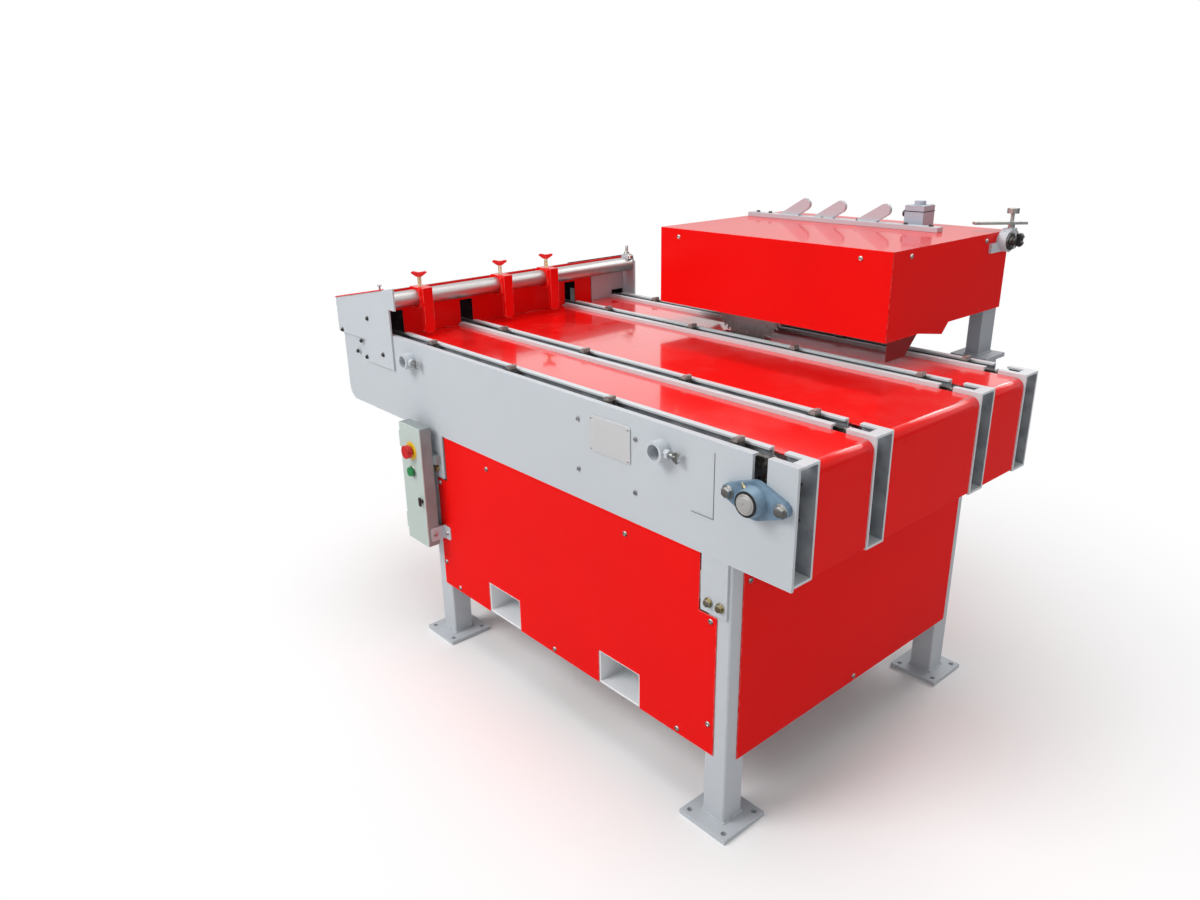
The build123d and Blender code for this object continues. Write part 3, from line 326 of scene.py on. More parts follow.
def groundSteel(c):
    f = Finish("groundSteel", metal=1.0)
    lines = f.grain(*c["lines"])
    stain = f.patch(*c["stain"])
    f.set("colour", f.mix(lines * 0.45 + stain * 0.45, c["colour"], c["dark"]))
    f.set("rough", c["rough"] + c["mark"] * lines + 0.16 * stain)
    f.bump(lines, c["lineDepth"])
    return f.mat


chainSet = {
    "oiled": ((0.060, 0.056, 0.052), (0.20, 0.185, 0.17)), "blot": (70, 5, 0.38, 0.66, 0.6),
    "rust": ((0.31, 0.255, 0.235), (0.50, 0.44, 0.415)), "rusty": (160, 5, 0.4, 0.65),
    "proud": (0.9385, 0.9405),  # heights between which oil gives way to rust
    "edge": 0.0010, "edgeTone": (0.42, 0.40, 0.38), "metal": 0.85, "rough": 0.36,
    "pit": (420, 3), "pitDepth": 0.00015,
}


def oiledChain(c):
    f = Finish("oiledChain", metal=c["metal"])
    blot = f.patch(*c["blot"])
    proud = f.step(f.part(f.spot, "Z"), *c["proud"])
    rust = f.mix(f.patch(*c["rusty"]), *c["rust"])
    # edges lighter: worn steel, and a painted highlight
    edgeWearAndHighlight = f.edges(c["edge"])
    tone = f.mix(proud * 0.85, f.mix(blot, *c["oiled"]), rust)
    f.set("colour", f.mix(edgeWearAndHighlight * 0.6, tone, c["edgeTone"]))
    f.set("rough", c["rough"] + 0.25 * blot - 0.10 * edgeWearAndHighlight)
    f.bump(f.grain(*c["pit"]), c["pitDepth"])
    return f.mat


castSet = {
    "cloud": (30, 4, 0.35, 0.7), "edge": 0.0015, "wear": (90, 3, 0.42, 0.6), "edgeTone": (0.42, 0.43, 0.44),
    "coat": 0.25, "coatRough": 0.2, "sand": (620, 3, 0.6), "sandDepth": 0.00035,
}


def castSkin(name, colour, deep, rough):
    c = castSet
    f = Finish(name, coatRough=c["coatRough"])
    cloud = f.patch(*c["cloud"])
    # edges lighter: coat worn off, and a painted highlight
    edgeWearAndHighlight = f.edges(c["edge"]) * f.patch(*c["wear"])
    f.set("colour", f.mix(edgeWearAndHighlight * 0.55, f.mix(cloud, colour, deep), c["edgeTone"]))
    f.set("rough", rough + 0.12 * cloud)
    f.set("coat", c["coat"] - 0.2 * edgeWearAndHighlight)
    f.bump(f.grain(*c["sand"]), c["sandDepth"])
    return f.mat


rubberSet = {"scuff": (26, 6, 0.46, 0.72, 0.65), "gloss": 0.35, "pit": (380, 3), "pitDepth": 0.00020}


def rubber(name, colour, worn, rough):
    c = rubberSet
    f = Finish(name, gloss=c["gloss"])
    scuff = f.patch(*c["scuff"])
    f.set("colour", f.mix(scuff * 0.6, colour, worn))
    f.set("rough", rough + 0.15 * scuff)
    f.bump(f.grain(*c["pit"]), c["pitDepth"])
    return f.mat


mouldSet = {"cloud": (45, 3, 0.35, 0.7), "edge": 0.0008, "edgeTone": (0.75, 0.72, 0.70), "pit": (900, 2)}


def moulded(name, colour, deep, rough, texture=0.00003):
    c = mouldSet
    f = Finish(name)
    cloud = f.patch(*c["cloud"])
    # edges lighter: scuffs, and a painted highlight
    f.set("colour", f.mix(f.edges(c["edge"]) * 0.25, f.mix(cloud * 0.7, colour, deep), c["edgeTone"]))
    f.set("rough", rough + 0.10 * cloud)
    f.bump(f.grain(*c["pit"]), texture)
    return f.mat


platingSet = {"cloud": (55, 4, 0.35, 0.68), "rough": 0.26, "pit": (500, 2), "pitDepth": 0.00008}


def plated(name, colour, dull):
    c = platingSet
    f = Finish(name, metal=1.0)
    cloud = f.patch(*c["cloud"])
    f.set("colour", f.mix(cloud, colour, dull))
    f.set("rough", c["rough"] + 0.18 * cloud)
    f.bump(f.grain(*c["pit"]), c["pitDepth"])
    return f.mat


wingPaintSet = {
    "dip": (1.1024, 1.1030),  # heights between which stem passes into wings
    "red": (0.74, 0.012, 0.010), "edgeTone": (0.85, 0.40, 0.36), "edge": 0.0012, "wear": (120, 3, 0.42, 0.6),
    "stem": ((0.50, 0.43, 0.24), (0.62, 0.58, 0.44)), "cloud": (60, 3, 0.35, 0.7),
    "rough": 0.34, "gloss": 0.35, "thread": 160.0, "threadDepth": 0.0006,
}


def wingEnamel(c):
    f = Finish("wingEnamel", gloss=c["gloss"])
    paint = f.step(f.part(f.spot, "Z"), *c["dip"])
    cloud = f.patch(*c["cloud"])
    thread = f.add("TexWave", {"bands_direction": "Z"}, {"Vector": f.spot, "Scale": c["thread"]})
    # edges lighter: paint worn through, and a painted highlight
    edgeWearAndHighlight = f.edges(c["edge"]) * f.patch(*c["wear"])
    f.set("colour", f.mix(paint, f.mix(cloud, *c["stem"]), f.mix(edgeWearAndHighlight * 0.7, c["red"], c["edgeTone"])))
    f.set("metal", 1 - paint)
    f.set("rough", c["rough"] + 0.10 * cloud)
    f.bump(thread * (1 - paint), c["threadDepth"])
    return f.mat


bladeLow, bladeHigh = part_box("blade")
bladeAxis = (bladeLow + bladeHigh) / 2
bladeSteelSet = {
    "rings": 900.0, "ringDetail": 3.0, "ringDepth": 0.00005, "rim": (0.10, 0.15),
    "bright": (0.40, 0.40, 0.41), "dark": (0.24, 0.24, 0.25), "rough": 0.30,
    "pitch": (42, 5, 0.6), "pitched": (0.50, 0.85), "pitchTone": (0.13, 0.095, 0.070),
}


def bladeSteel(c):  # ground in rings, with wood pitch towards the rim
    f = Finish("bladeSteel", metal=1.0)
    far = f.length(f.add("Mapping", None, {"Vector": f.spot, "Location": tuple(-v for v in bladeAxis)}))
    ins = {"W": far, "Scale": c["rings"], "Detail": c["ringDetail"]}
    rings = f.add("TexNoise", {"noise_dimensions": "1D"}, ins)
    pitch = f.step(f.grain(*c["pitch"]) + f.step(far, *c["rim"]) * 0.25, *c["pitched"])
    f.set("colour", f.mix(pitch * 0.75, f.mix(rings, c["bright"], c["dark"]), c["pitchTone"]))
    f.set("rough", c["rough"] + 0.12 * rings + 0.20 * pitch)
    f.bump(rings, c["ringDepth"])
    return f.mat


brushSet = {"lines": (500, 2, 0.6, (0.02, 1, 1)), "metal": 0.55, "rough": 0.36, "lineDepth": 0.00003}


def brushed(name, colour, deep):  # plain metal with fine lines
    c = brushSet
    f = Finish(name, metal=c["metal"])
    lines = f.grain(*c["lines"])
    f.set("colour", f.mix(lines * 0.6, colour, deep))
    f.set("rough", c["rough"] + 0.12 * lines)
    f.bump(lines, c["lineDepth"])
    return f.mat


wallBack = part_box("hopper_wall")[0].x
railMids = [sum(corner.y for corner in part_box("chain_rail_%d" % k)) / 2 for k in (1, 2, 3, 4)]
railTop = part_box("chain_rail_2")[1].z
insideSet = {
    "turned": (0.25, 0.35), "lidEnd": (0.70, 0.71),
    "plateSide": (0.10, 0.12), "plateEnd": (-0.9135, -0.9130), "wallSkin": 0.001,
    "trough": (0.0298, 0.0306), "upright": (0.5, 0.7), "unshadedTop": (0.010, 0.006),
}


def lidInside(f):  # underside, and the inner face of the end
    c = insideSet
    under = f.step(f.part(f.facing, "Z") * -1, *c["turned"])
    end = f.step(f.part(f.facing, "X"), *c["turned"]) * f.step(f.part(f.spot, "X") * -1, *c["lidEnd"])
    return f.add("Clamp", None, {0: under + end})


def plateInside(f):  # faces that look at each other behind the wall
    c = insideSet
    y, x = f.part(f.facing, "Y") * f.part(f.spot, "Y"), f.part(f.spot, "X")
    behind = f.step(y * -1, *c["plateSide"]) * f.step(wallBack - x, 0.0, c["wallSkin"])
    return behind * f.step(x, *c["plateEnd"])


def railInside(f):  # painted shade on the trough's walls, stopping short of a band at the top
    c = insideSet
    y, z, side = f.part(f.spot, "Y"), f.part(f.spot, "Z"), f.part(f.facing, "Y")
    near, far = (half ** 2 for half in c["trough"])
    trough = 0
    for mid in railMids:
        trough = trough + 1 - f.step((y - mid) * (y - mid), near, far)
    low, high = (railTop - depth for depth in c["unshadedTop"])
    return trough * f.step(side * side, *c["upright"]) * (1 - f.step(z, low, high))


finishes = {
    "red": enamel("redEnamel", redPaint, redDeep, redEdgeWearAndHighlight, 0.22, gloss=0.11, polish=0.55),
    "deck": enamel("deckEnamel", (0.84, 0.006, 0.005), (0.74, 0.005, 0.004), redEdgeWearAndHighlight, 0.18,
                   gloss=0.20, polish=0.95),
    "grey": enamel("greyEnamel", greyPaint, greyDeep, greyEdgeWearAndHighlight, 0.36),
    "rail": enamel("railEnamel", (0.62, 0.65, 0.675), (0.56, 0.59, 0.62), (0.84, 0.85, 0.86), 0.34,
                   inside=railInside),
    # painted light: the fork tubes, grey like the rest, get a paler grey that stands in for light bounced up
    # inside them
    "forksBounceLit": enamel("forkEnamelBounceLit", (0.80, 0.82, 0.84), (0.74, 0.765, 0.785), (0.88, 0.89, 0.90), 0.36),
    # painted shade: the stand, grey like the rest, gets a darker grey that stands in for the shadow it sits
    # in
    "stand": enamel("standEnamelShaded", (0.38, 0.40, 0.435), (0.33, 0.35, 0.385), (0.66, 0.68, 0.70), 0.38),
    "motor_grey": enamel("motorEnamel", (0.46, 0.50, 0.57), (0.38, 0.42, 0.49), (0.70, 0.72, 0.74), 0.38),
    "door": enamel("doorEnamel", (0.50, 0.575, 0.54), (0.45, 0.525, 0.49), (0.78, 0.82, 0.80), 0.36),
    "box": boxEnamel(boxPaintSet),
    "lid": hopperEnamel("lidEnamel", redPaint, redDeep, lidInside, polish=0.95),
    "hopperPlate": hopperEnamel("hopperEnamel", greyPaint, greyDeep, plateInside),
    "wing": wingEnamel(wingPaintSet),
    "bearing_blue": castSkin("blueCasting", (0.19, 0.295, 0.395), (0.11, 0.185, 0.27), 0.38),
    "cast": castSkin("machinedIron", (0.26, 0.26, 0.27), (0.16, 0.16, 0.17), 0.42),
    "steel": groundSteel(groundSet),
    "chain_steel": oiledChain(chainSet),
    "blade": bladeSteel(bladeSteelSet),
    "bare": brushed("barePlate", (0.93, 0.93, 0.94), (0.85, 0.85, 0.87)),
    "machined": brushed("turnedSteel", (0.70, 0.69, 0.675), (0.48, 0.47, 0.46)),
    "zinc": plated("zincPlate", (0.66, 0.66, 0.65), (0.48, 0.47, 0.44)),
    "yellowZinc": plated("yellowPassivate", (0.62, 0.52, 0.26), (0.50, 0.46, 0.36)),
    "darkBolt": plated("darkOxide", (0.085, 0.085, 0.090), (0.15, 0.14, 0.135)),
    "belt_rubber": rubber("beltRubber", (0.018, 0.018, 0.019), (0.06, 0.06, 0.06), 0.55),
    "flap_rubber": rubber("flapRubber", (0.20, 0.005, 0.006), (0.27, 0.02, 0.02), 0.50),
    "sealant": rubber("jointSealant", (0.17, 0.175, 0.18), (0.24, 0.24, 0.24), 0.55),
    "black_plastic": moulded("blackMoulding", (0.020, 0.020, 0.022), (0.035, 0.035, 0.037), 0.38, 0.00012),
    "stop_red": moulded("stopRed", (0.62, 0.012, 0.010), (0.50, 0.008, 0.008), 0.24),
    "start_green": moulded("startGreen", (0.015, 0.26, 0.075), (0.010, 0.20, 0.055), 0.24),
    "yellow": moulded("yellowMoulding", (0.80, 0.52, 0.02), (0.70, 0.44, 0.015), 0.34),
}
special = {"blade": "blade", "control_box": "box", "control_door": "door", "hopper_lid": "lid",
           "hopper_front_plate": "hopperPlate", "hopper_rear_plate": "hopperPlate", "saw_stand": "stand",
           "fork_channels": "forksBounceLit"}
for k in (1, 2, 3, 4):
    special["chain_rail_%d" % k] = "rail"
for k in (1, 2, 3):
    special["deck_panel_%d" % k] = "deck"
    special["finger_screw_%d" % k] = "wing"

for node in nodes.values():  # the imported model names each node's slot
    slot = node.data.materials[0].name.split(".")[0]
    node.data.materials.clear()
    node.data.materials.append(finishes[special.get(node.name, slot)])
print("finishes on:", len(finishes))


# sheet and plate edges are broken, to catch the light

edgeSet = {"wide": 0.0010, "steps": 2, "angle": 40, "merge": 0.00002, "flat": 0.5}
sharp = ["rear_panel", "front_side_plate", "hopper_front_plate", "hopper_rear_plate", "hopper_wall",
         "hood_front", "hood_shell", "hood_top_bar", "control_box", "base_stretchers", "fork_channels",
         "saw_stand"]
sharp += ["deck_panel_%d" % k for k in (1, 2, 3)] + ["chain_rail_%d" % k for k in (1, 2, 3, 4)]


def breakEdges(c, names):
    for name in names:
        weld = nodes[name].modifiers.new("merge", "WELD")
        weld.merge_threshold = c["merge"]
        flat = nodes[name].modifiers.new("flat", "DECIMATE")
        flat.decimate_type = "DISSOLVE"
        flat.angle_limit = math.radians(c["flat"])
        soft = nodes[name].modifiers.new("edge", "BEVEL")
        soft.width = c["wide"]
        soft.segments = c["steps"]
        soft.limit_method = "ANGLE"
        soft.angle_limit = math.radians(c["angle"])
        soft.harden_normals = True


breakEdges(edgeSet, sharp)
print("edges broken on:", len(sharp))


# modelling, as by hand

almost = 0.99  # how near the top, or square to it, still counts
front, rear, right, left, top = (0, -1, 0), (0, 1, 0), (1, 0, 0), (-1, 0, 0), (0, 0, 1)


def mm(x, y, z):  # from millimetres
    return Vector((x, y, z)) / 1000


def along(way, axis):  # an edge that runs along x, y or z
    return abs(way["xyz".index(axis)]) > 0.9


def topEdge(tall):
    return lambda p, d: p.z > tall * almost


def topFace(tall):
    return lambda p, n: n.z > almost and p.z > tall * almost


def rimEdge(inner, outer, tall):  # the outer upper edge of a ring
    return lambda p, d: p.z > tall * almost and p.xy.length > (inner + 3 * outer) / 4


def fix():  # place, turn and size go into the mesh
    bpy.ops.object.transform_apply(location=True, rotation=True, scale=True)


def pick(kind, test):  # selects faces, points or edges by place and direction
    mesh = bpy.context.object.data
    bpy.ops.object.mode_set(mode="EDIT")
    bpy.ops.mesh.select_mode(type=kind)
    bpy.ops.mesh.select_all(action="DESELECT")
    bpy.ops.object.mode_set(mode="OBJECT")
    if kind == "FACE":
        for face in mesh.polygons:
            face.select = bool(test(face.center, face.normal))
    elif kind == "VERT":
        for vert in mesh.vertices:
            vert.select = bool(test(vert.co, vert.normal))
    else:
        for edge in mesh.edges:
            a, b = (mesh.vertices[i].co for i in edge.vertices)
            edge.select = bool(test((a + b) / 2, (b - a).normalized()))
    bpy.ops.object.mode_set(mode="EDIT")


def leave():
    bpy.ops.object.mode_set(mode="OBJECT")
    return bpy.context.object


def ease(width, steps, test):  # rounds or chamfers edges
    pick("EDGE", test)
    bpy.ops.mesh.bevel(offset=width, segments=steps, affect="EDGES")
    return leave()


def sink(test, margin, depth):  # insets a face and pushes it in, along Z
    pick("FACE", test)
    bpy.ops.mesh.inset(thickness=margin)
    bpy.ops.mesh.extrude_region_move(TRANSFORM_OT_translate={"value": (0, 0, -depth)})
    return leave()


def drum(radius, tall, sides=24, low=0.0):
    middle = (0, 0, low + tall / 2)
    bpy.ops.mesh.primitive_cylinder_add(vertices=sides, radius=radius, depth=tall, location=middle)
    fix()
    return bpy.context.object


def slab(size, middle):
    bpy.ops.mesh.primitive_cube_add(size=1, location=middle)
    bpy.context.object.scale = size
    fix()
    return bpy.context.object


def ring(inner, outer, tall, low=0.0, sides=40):
    bpy.ops.mesh.primitive_circle_add(vertices=sides, radius=inner, location=(0, 0, low))
    fix()
    bpy.ops.object.mode_set(mode="EDIT")
    bpy.ops.mesh.select_all(action="SELECT")
    bpy.ops.mesh.extrude_edges_move()
    grow = outer / inner
    bpy.ops.transform.resize(value=(grow, grow, 1), center_override=(0, 0, low))
    bpy.ops.mesh.select_all(action="SELECT")
    bpy.ops.mesh.extrude_region_move(TRANSFORM_OT_translate={"value": (0, 0, tall)})
    bpy.ops.mesh.select_all(action="SELECT")
    bpy.ops.mesh.normals_make_consistent(inside=False)
    return leave()


def together(*parts):
    bpy.ops.object.select_all(action="DESELECT")
    for part in parts:
        part.select_set(True)
    bpy.context.view_layer.objects.active = parts[0]
    if len(parts) > 1:
        bpy.ops.object.join()
    return bpy.context.object


def twin(model):  # a copy with its own mesh
    copy = model.copy()
    copy.data = model.data.copy()
    bpy.context.collection.objects.link(copy)
    return copy


def spread(model, spots):  # a copy at each spot, facing its direction, joined
    copies = []
    for place, facing in spots:
        copy = twin(model)
        turn = Vector(facing).to_track_quat("Z", "Y").to_matrix().to_4x4()
        copy.data.transform(Matrix.Translation(place) @ turn)
        copies.append(copy)
    return together(*copies)


def done(piece, name, finish, body, smooth=35):
    together(piece)
    bpy.ops.object.shade_smooth_by_angle(angle=math.radians(smooth))
    piece.name = name
    piece.data.name = name
    piece.data.materials.clear()
    piece.data.materials.append(finishes[finish])
    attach(piece, body)
    bpy.ops.object.select_all(action="DESELECT")
    return piece


def away(*models):
    for model in models:
        bpy.data.objects.remove(model)


def sheetCopy(name):  # copy of a CAD sheet in whole faces, to be reshaped
    copy = bpy.data.objects.new(name + "Copy", nodes[name].data.copy())
    bpy.context.collection.objects.link(copy)
    together(copy)
    pick("FACE", lambda p, n: True)
    bpy.ops.mesh.remove_doubles(threshold=edgeSet["merge"])
    bpy.ops.mesh.dissolve_limited(angle_limit=math.radians(edgeSet["flat"]))
    return leave()


# panels: the front one tucks up to the side plate, the end ones leave the rear legs' edge bare

panelSet = {"raise": (0, 0, 0.0242), "narrow": (0, -0.0120, 0), "near": 0.001, "chamfer": 0.0008, "smooth": 5}


def movedEdge(c, node, axis, move):  # copy of a sheet with its last edge moved
    sheet = sheetCopy(node)
    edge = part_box(node)[1][axis] - c["near"]
    pick("VERT", lambda p, n: p[axis] > edge)
    bpy.ops.transform.translate(value=move)
    leave()
    ease(c["chamfer"], 1, lambda p, d: True)
    return sheet


def addPanels(c):
    panel = movedEdge(c, "front_panel", 2, c["raise"])
    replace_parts(done(panel, "tallFrontPanel", "red", "frame", c["smooth"]), "front_panel")
    sheets = movedEdge(c, "end_panels", 1, c["narrow"])
    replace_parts(done(sheets, "narrowEndPanels", "red", "frame", c["smooth"]), "end_panels")


addPanels(panelSet)
print("panels set")


# fasteners

screwSet = {"head": 0.0068, "tall": 0.0036, "dome": 0.75, "socket": 0.0032, "deep": 0.0022, "sides": 20,
            "lesser": 0.8, "fine": 0.62}
boltSet = {"washer": 0.0115, "washerThick": 0.0020, "washerEdge": 0.4, "sides": 28,
           "across": 0.0092, "tall": 0.0066, "chamfer": 0.16, "crown": 0.08, "small": 0.62}


def roundScrew(c, size=1.0):  # domed head with a driver hole
    head, tall = c["head"] * size, c["tall"] * size
    dome = tall * c["dome"]
    drum(head, tall, c["sides"])
    ease(dome, 3, topEdge(tall))
    return sink(topFace(tall), head - dome - c["socket"] * size, c["deep"] * size)


def hexBolt(c, size=1.0):  # washer under a chamfered six-sided head
    low, tall, across = c["washerThick"] * size, c["tall"] * size, c["across"] * size
    washer = drum(c["washer"] * size, low, c["sides"])
    ease(low * c["washerEdge"], 2, topEdge(low))
    head = drum(across, tall, 6, low)
    ease(tall * c["chamfer"], 2, topEdge(low + tall))
    pick("FACE", topFace(low + tall))
    bpy.ops.mesh.inset(thickness=across * c["chamfer"])
    bpy.ops.transform.translate(value=(0, 0, tall * c["crown"]))
    leave()
    return together(washer, head)


screw = roundScrew(screwSet)
lesser = roundScrew(screwSet, screwSet["lesser"])
fine = roundScrew(screwSet, screwSet["fine"])
bolt = hexBolt(boltSet)
small = hexBolt(boltSet, boltSet["small"])
spotSet = {  # mm along and up the face that the heads stand on
    "panel": [(442, 640), (-119, 640), (712, 526), (712, 262), (158, 197), (-303, 197), (617, 197),
              (-371, 526), (-371, 262)],
    "end": [(-562, 626), (-130, 190), (306, 626)],
    "hoodFront": [(-91, 1200), (541, 1200)],
    "hoodEnd": [(179, 1205), (560, 1205)],
    "hoodBack": [(20, 1196), (440, 1196)],
    "sidePlate": [(286, 884), (285, 758), (482, 883), (481, 756)],
    "tab": [(707, 572), (740, 572), (-374, 572), (-407, 572)],
    "hopper": [(-712, 971), (-768, 892), (-797, 854), (-739, 845), (-632, 871), (-892, 908)],
    "topBar": (-130, -80, 125, 250, 410, 490), "topBarAt": (511, 1238),
}


def onNode(spots, name, facing):  # places on the side of a node that looks one way
    low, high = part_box(name)
    if facing[0]:
        face = high.x if facing[0] > 0 else low.x
        return [(Vector((face, y / 1000, z / 1000)), facing) for y, z in spots]
    face = high.y if facing[1] > 0 else low.y
    return [(Vector((x / 1000, face, z / 1000)), facing) for x, z in spots]


def addFasteners(c):
    heads = onNode(c["panel"], "front_panel", front) + onNode(c["panel"], "rear_panel", rear)
    heads += onNode(c["end"], "end_panels", right) + onNode(c["end"], "end_panels", left)
    done(spread(screw, heads), "panelScrews", "zinc", "frame")
    heads = onNode(c["hoodFront"], "hood_front", front) + onNode(c["hoodEnd"], "hood_shell", right)
    heads += onNode(c["hoodEnd"], "hood_shell", left) + onNode(c["hoodBack"], "hood_shell", rear)
    done(spread(screw, heads), "hoodScrews", "zinc", "saw_head")
    heads = onNode(c["sidePlate"], "front_side_plate", front)
    done(spread(lesser, heads), "sidePlateScrews", "cast", "frame")
    heads = onNode(c["tab"], "front_side_plate", front)
    done(spread(bolt, heads), "tabBolts", "yellowZinc", "frame")
    heads = onNode(c["hopper"], "hopper_front_plate", front) + onNode(c["hopper"], "hopper_rear_plate", rear)
    done(spread(small, heads), "hopperBolts", "darkBolt", "frame")
    heads = [(mm(x, *c["topBarAt"]), top) for x in c["topBar"]]
    done(spread(small, heads), "topBarBolts", "darkBolt", "saw_head")


addFasteners(spotSet)
print("fasteners set")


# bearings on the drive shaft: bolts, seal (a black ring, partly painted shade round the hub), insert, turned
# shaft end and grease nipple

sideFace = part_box("front_side_plate")[0].y
nippleSet = {"stem": 0.0038, "neck": 0.0022, "tall": 0.006, "round": 0.0010}
bearingSet = {
    "boltGap": 0.065, "boltSize": 1.25, "flange": 0.014, "boss": 0.038, "round": 0.0008,
    "seal": 0.0264, "sealTall": 0.0016,
    "insert": 0.0215, "insertGap": 0.0004, "insertTall": 0.0042, "shaft": 0.0178,
    "end": 0.0172, "endTall": 0.0014, "centreMargin": 0.0118, "centreDeep": 0.0012,
    "nippleAt": (-0.0150, 0.026, 0.0255), "nippleWay": (-0.5, 0, 0.86),
}


def greaseNipple(c):
    stem = drum(c["stem"], c["tall"], 6)
    neck = drum(c["neck"], c["tall"], 16, c["tall"])
    ease(c["round"], 2, topEdge(c["tall"] * 2))
    return together(stem, neck)


def bearingTrim(c):
    shaftLow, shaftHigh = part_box("drive_shaft")
    shaft = (shaftLow + shaftHigh) / 2
    faces = [(sideFace, -1, front), (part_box("flange_bearings")[1].y - c["boss"], 1, rear)]
    big = hexBolt(boltSet, c["boltSize"])
    # black rubber seal, made wide so its dark ring also serves as painted shade round the hub
    seal = ring(c["insert"], c["seal"], c["sealTall"])
    insert = ring(c["shaft"], c["insert"] - c["insertGap"], c["insertTall"])
    ease(c["round"], 2, topEdge(c["insertTall"]))
    turned = drum(c["end"], c["endTall"], 40)
    ease(c["round"], 2, topEdge(c["endTall"]))
    sink(topFace(c["endTall"]), c["centreMargin"], c["centreDeep"])
    nipple = greaseNipple(nippleSet)
    aside, out, up = c["nippleAt"]
    boltSpots, bossSpots, nippleSpots = [], [], []
    for face, way, facing in faces:
        ear = Vector((shaft.x, face + way * c["flange"], shaft.z))
        boltSpots += [(ear + Vector((side * c["boltGap"], 0, 0)), facing) for side in (-1, 1)]
        bossSpots.append((Vector((shaft.x, face + way * c["boss"], shaft.z)), facing))
        nippleSpots.append((Vector((shaft.x + aside, face + way * out, shaft.z + up)), c["nippleWay"]))
    ends = ((shaftLow.y, front), (shaftHigh.y, rear))
    endSpots = [(Vector((shaft.x, y, shaft.z)), facing) for y, facing in ends]
    done(spread(big, boltSpots), "bearingBolts", "zinc", "frame")
    done(spread(seal, bossSpots), "bearingSealShadeRings", "belt_rubber", "frame")
    done(spread(insert, bossSpots), "bearingInserts", "machined", "conveyor_drive")
    done(spread(turned, endSpots), "shaftEnds", "machined", "conveyor_drive")
    done(spread(nipple, nippleSpots), "greaseNipples", "yellowZinc", "frame")
    away(big, seal, insert, turned, nipple)


bearingTrim(bearingSet)
print("bearing trim set")


# saw head: knob and collar on the pivot, terminal box's seal, screws and gland

knobSet = {"at": (650, 682, 1198), "radius": 0.024, "tall": 0.018, "low": 0.002, "round": 0.0035,
           "lobes": 5, "bite": 0.80, "valley": -0.3, "rim": 0.0065, "dish": 0.0015,
           "stem": 0.0075, "stemTall": 0.006, "stemLow": -0.004}


def starKnob(c):
    stem = drum(c["stem"], c["stemTall"], 20, c["stemLow"])
    knob = drum(c["radius"], c["tall"], c["lobes"] * 8, c["low"])
    pick("VERT", lambda p, n: math.cos(c["lobes"] * math.atan2(p.y, p.x)) < c["valley"])
    bpy.ops.transform.resize(value=(c["bite"], c["bite"], 1), center_override=(0, 0, 0))
    leave()
    ease(c["round"], 3, lambda p, d: not along(d, "z"))
    sink(topFace(c["low"] + c["tall"]), c["rim"], c["dish"])
    model = together(stem, knob)
    done(spread(model, [(mm(*c["at"]), rear)]), "clampKnob", "black_plastic", "saw_head")
    away(model)


pivotSet = {"at": (658, 644, 1198), "shaft": 0.0143, "collar": 0.0235, "tall": 0.0045, "round": 0.0010,
            "bolt": (664, 644, 1198)}


def pivotTrim(c):
    collar = ring(c["shaft"], c["collar"], c["tall"])
    ease(c["round"], 2, topEdge(c["tall"]))
    done(spread(collar, [(mm(*c["at"]), right)]), "pivotCollar", "darkBolt", "saw_head")
    done(spread(bolt, [(mm(*c["bolt"]), right)]), "pivotBolt", "darkBolt", "frame")
    away(collar)


terminalSet = {"low": (387, 538), "high": (447, 598), "top": 1288, "lid": 16, "screwIn": 6,
               "proud": 0.8, "sealTall": 2.0, "round": 0.0006}


def terminalTrim(c):
    (x0, y0), (x1, y1), proud = c["low"], c["high"], 2 * c["proud"]
    seal = slab(mm(x1 - x0 + proud, y1 - y0 + proud, c["sealTall"]),
                mm((x0 + x1) / 2, (y0 + y1) / 2, c["top"] - c["lid"]))
    ease(c["round"], 2, lambda p, d: along(d, "z"))
    done(seal, "terminalSeal", "belt_rubber", "saw_head")
    inner = c["screwIn"]
    corners = [(mm(x, y, c["top"]), top) for x in (x0 + inner, x1 - inner) for y in (y0 + inner, y1 - inner)]
    done(spread(fine, corners), "terminalScrews", "zinc", "saw_head")


glandSet = {"at": (387, 566, 1262), "nut": 0.0125, "nutTall": 0.008, "chamfer": 0.0012,
            "dome": 0.0098, "domeTall": 0.012, "round": 0.0040, "rim": 0.0016, "deep": 0.004}


def cableGland(c):
    nut = drum(c["nut"], c["nutTall"], 6)
    ease(c["chamfer"], 2, topEdge(c["nutTall"]))
    dome = drum(c["dome"], c["domeTall"], 24, c["nutTall"])
    tall = c["nutTall"] + c["domeTall"]
    ease(c["round"], 3, topEdge(tall))
    sink(topFace(tall), c["rim"], c["deep"])
    model = together(nut, dome)
    done(spread(model, [(mm(*c["at"]), left)]), "cableGland", "black_plastic", "saw_head")
    away(model)


starKnob(knobSet)
pivotTrim(pivotSet)
terminalTrim(terminalSet)
cableGland(glandSet)
print("saw head trim set")


# blade: gullets, ground disc and brazed tips

bladeSet = {
    "teeth": 60, "thick": 0.0026, "bore": 0.0155, "rimGap": 0.0006, "rim": 0.97,
    "gullet": (0.982, 0.930, 0.948),  # radii behind each tooth's face, as shares of the rim's
    "tip": (0.0036, 0.0026, 0.0080), "chamfer": 0.0003, "ahead": 0.012, "turn": 1.7, "smooth": 20,
}


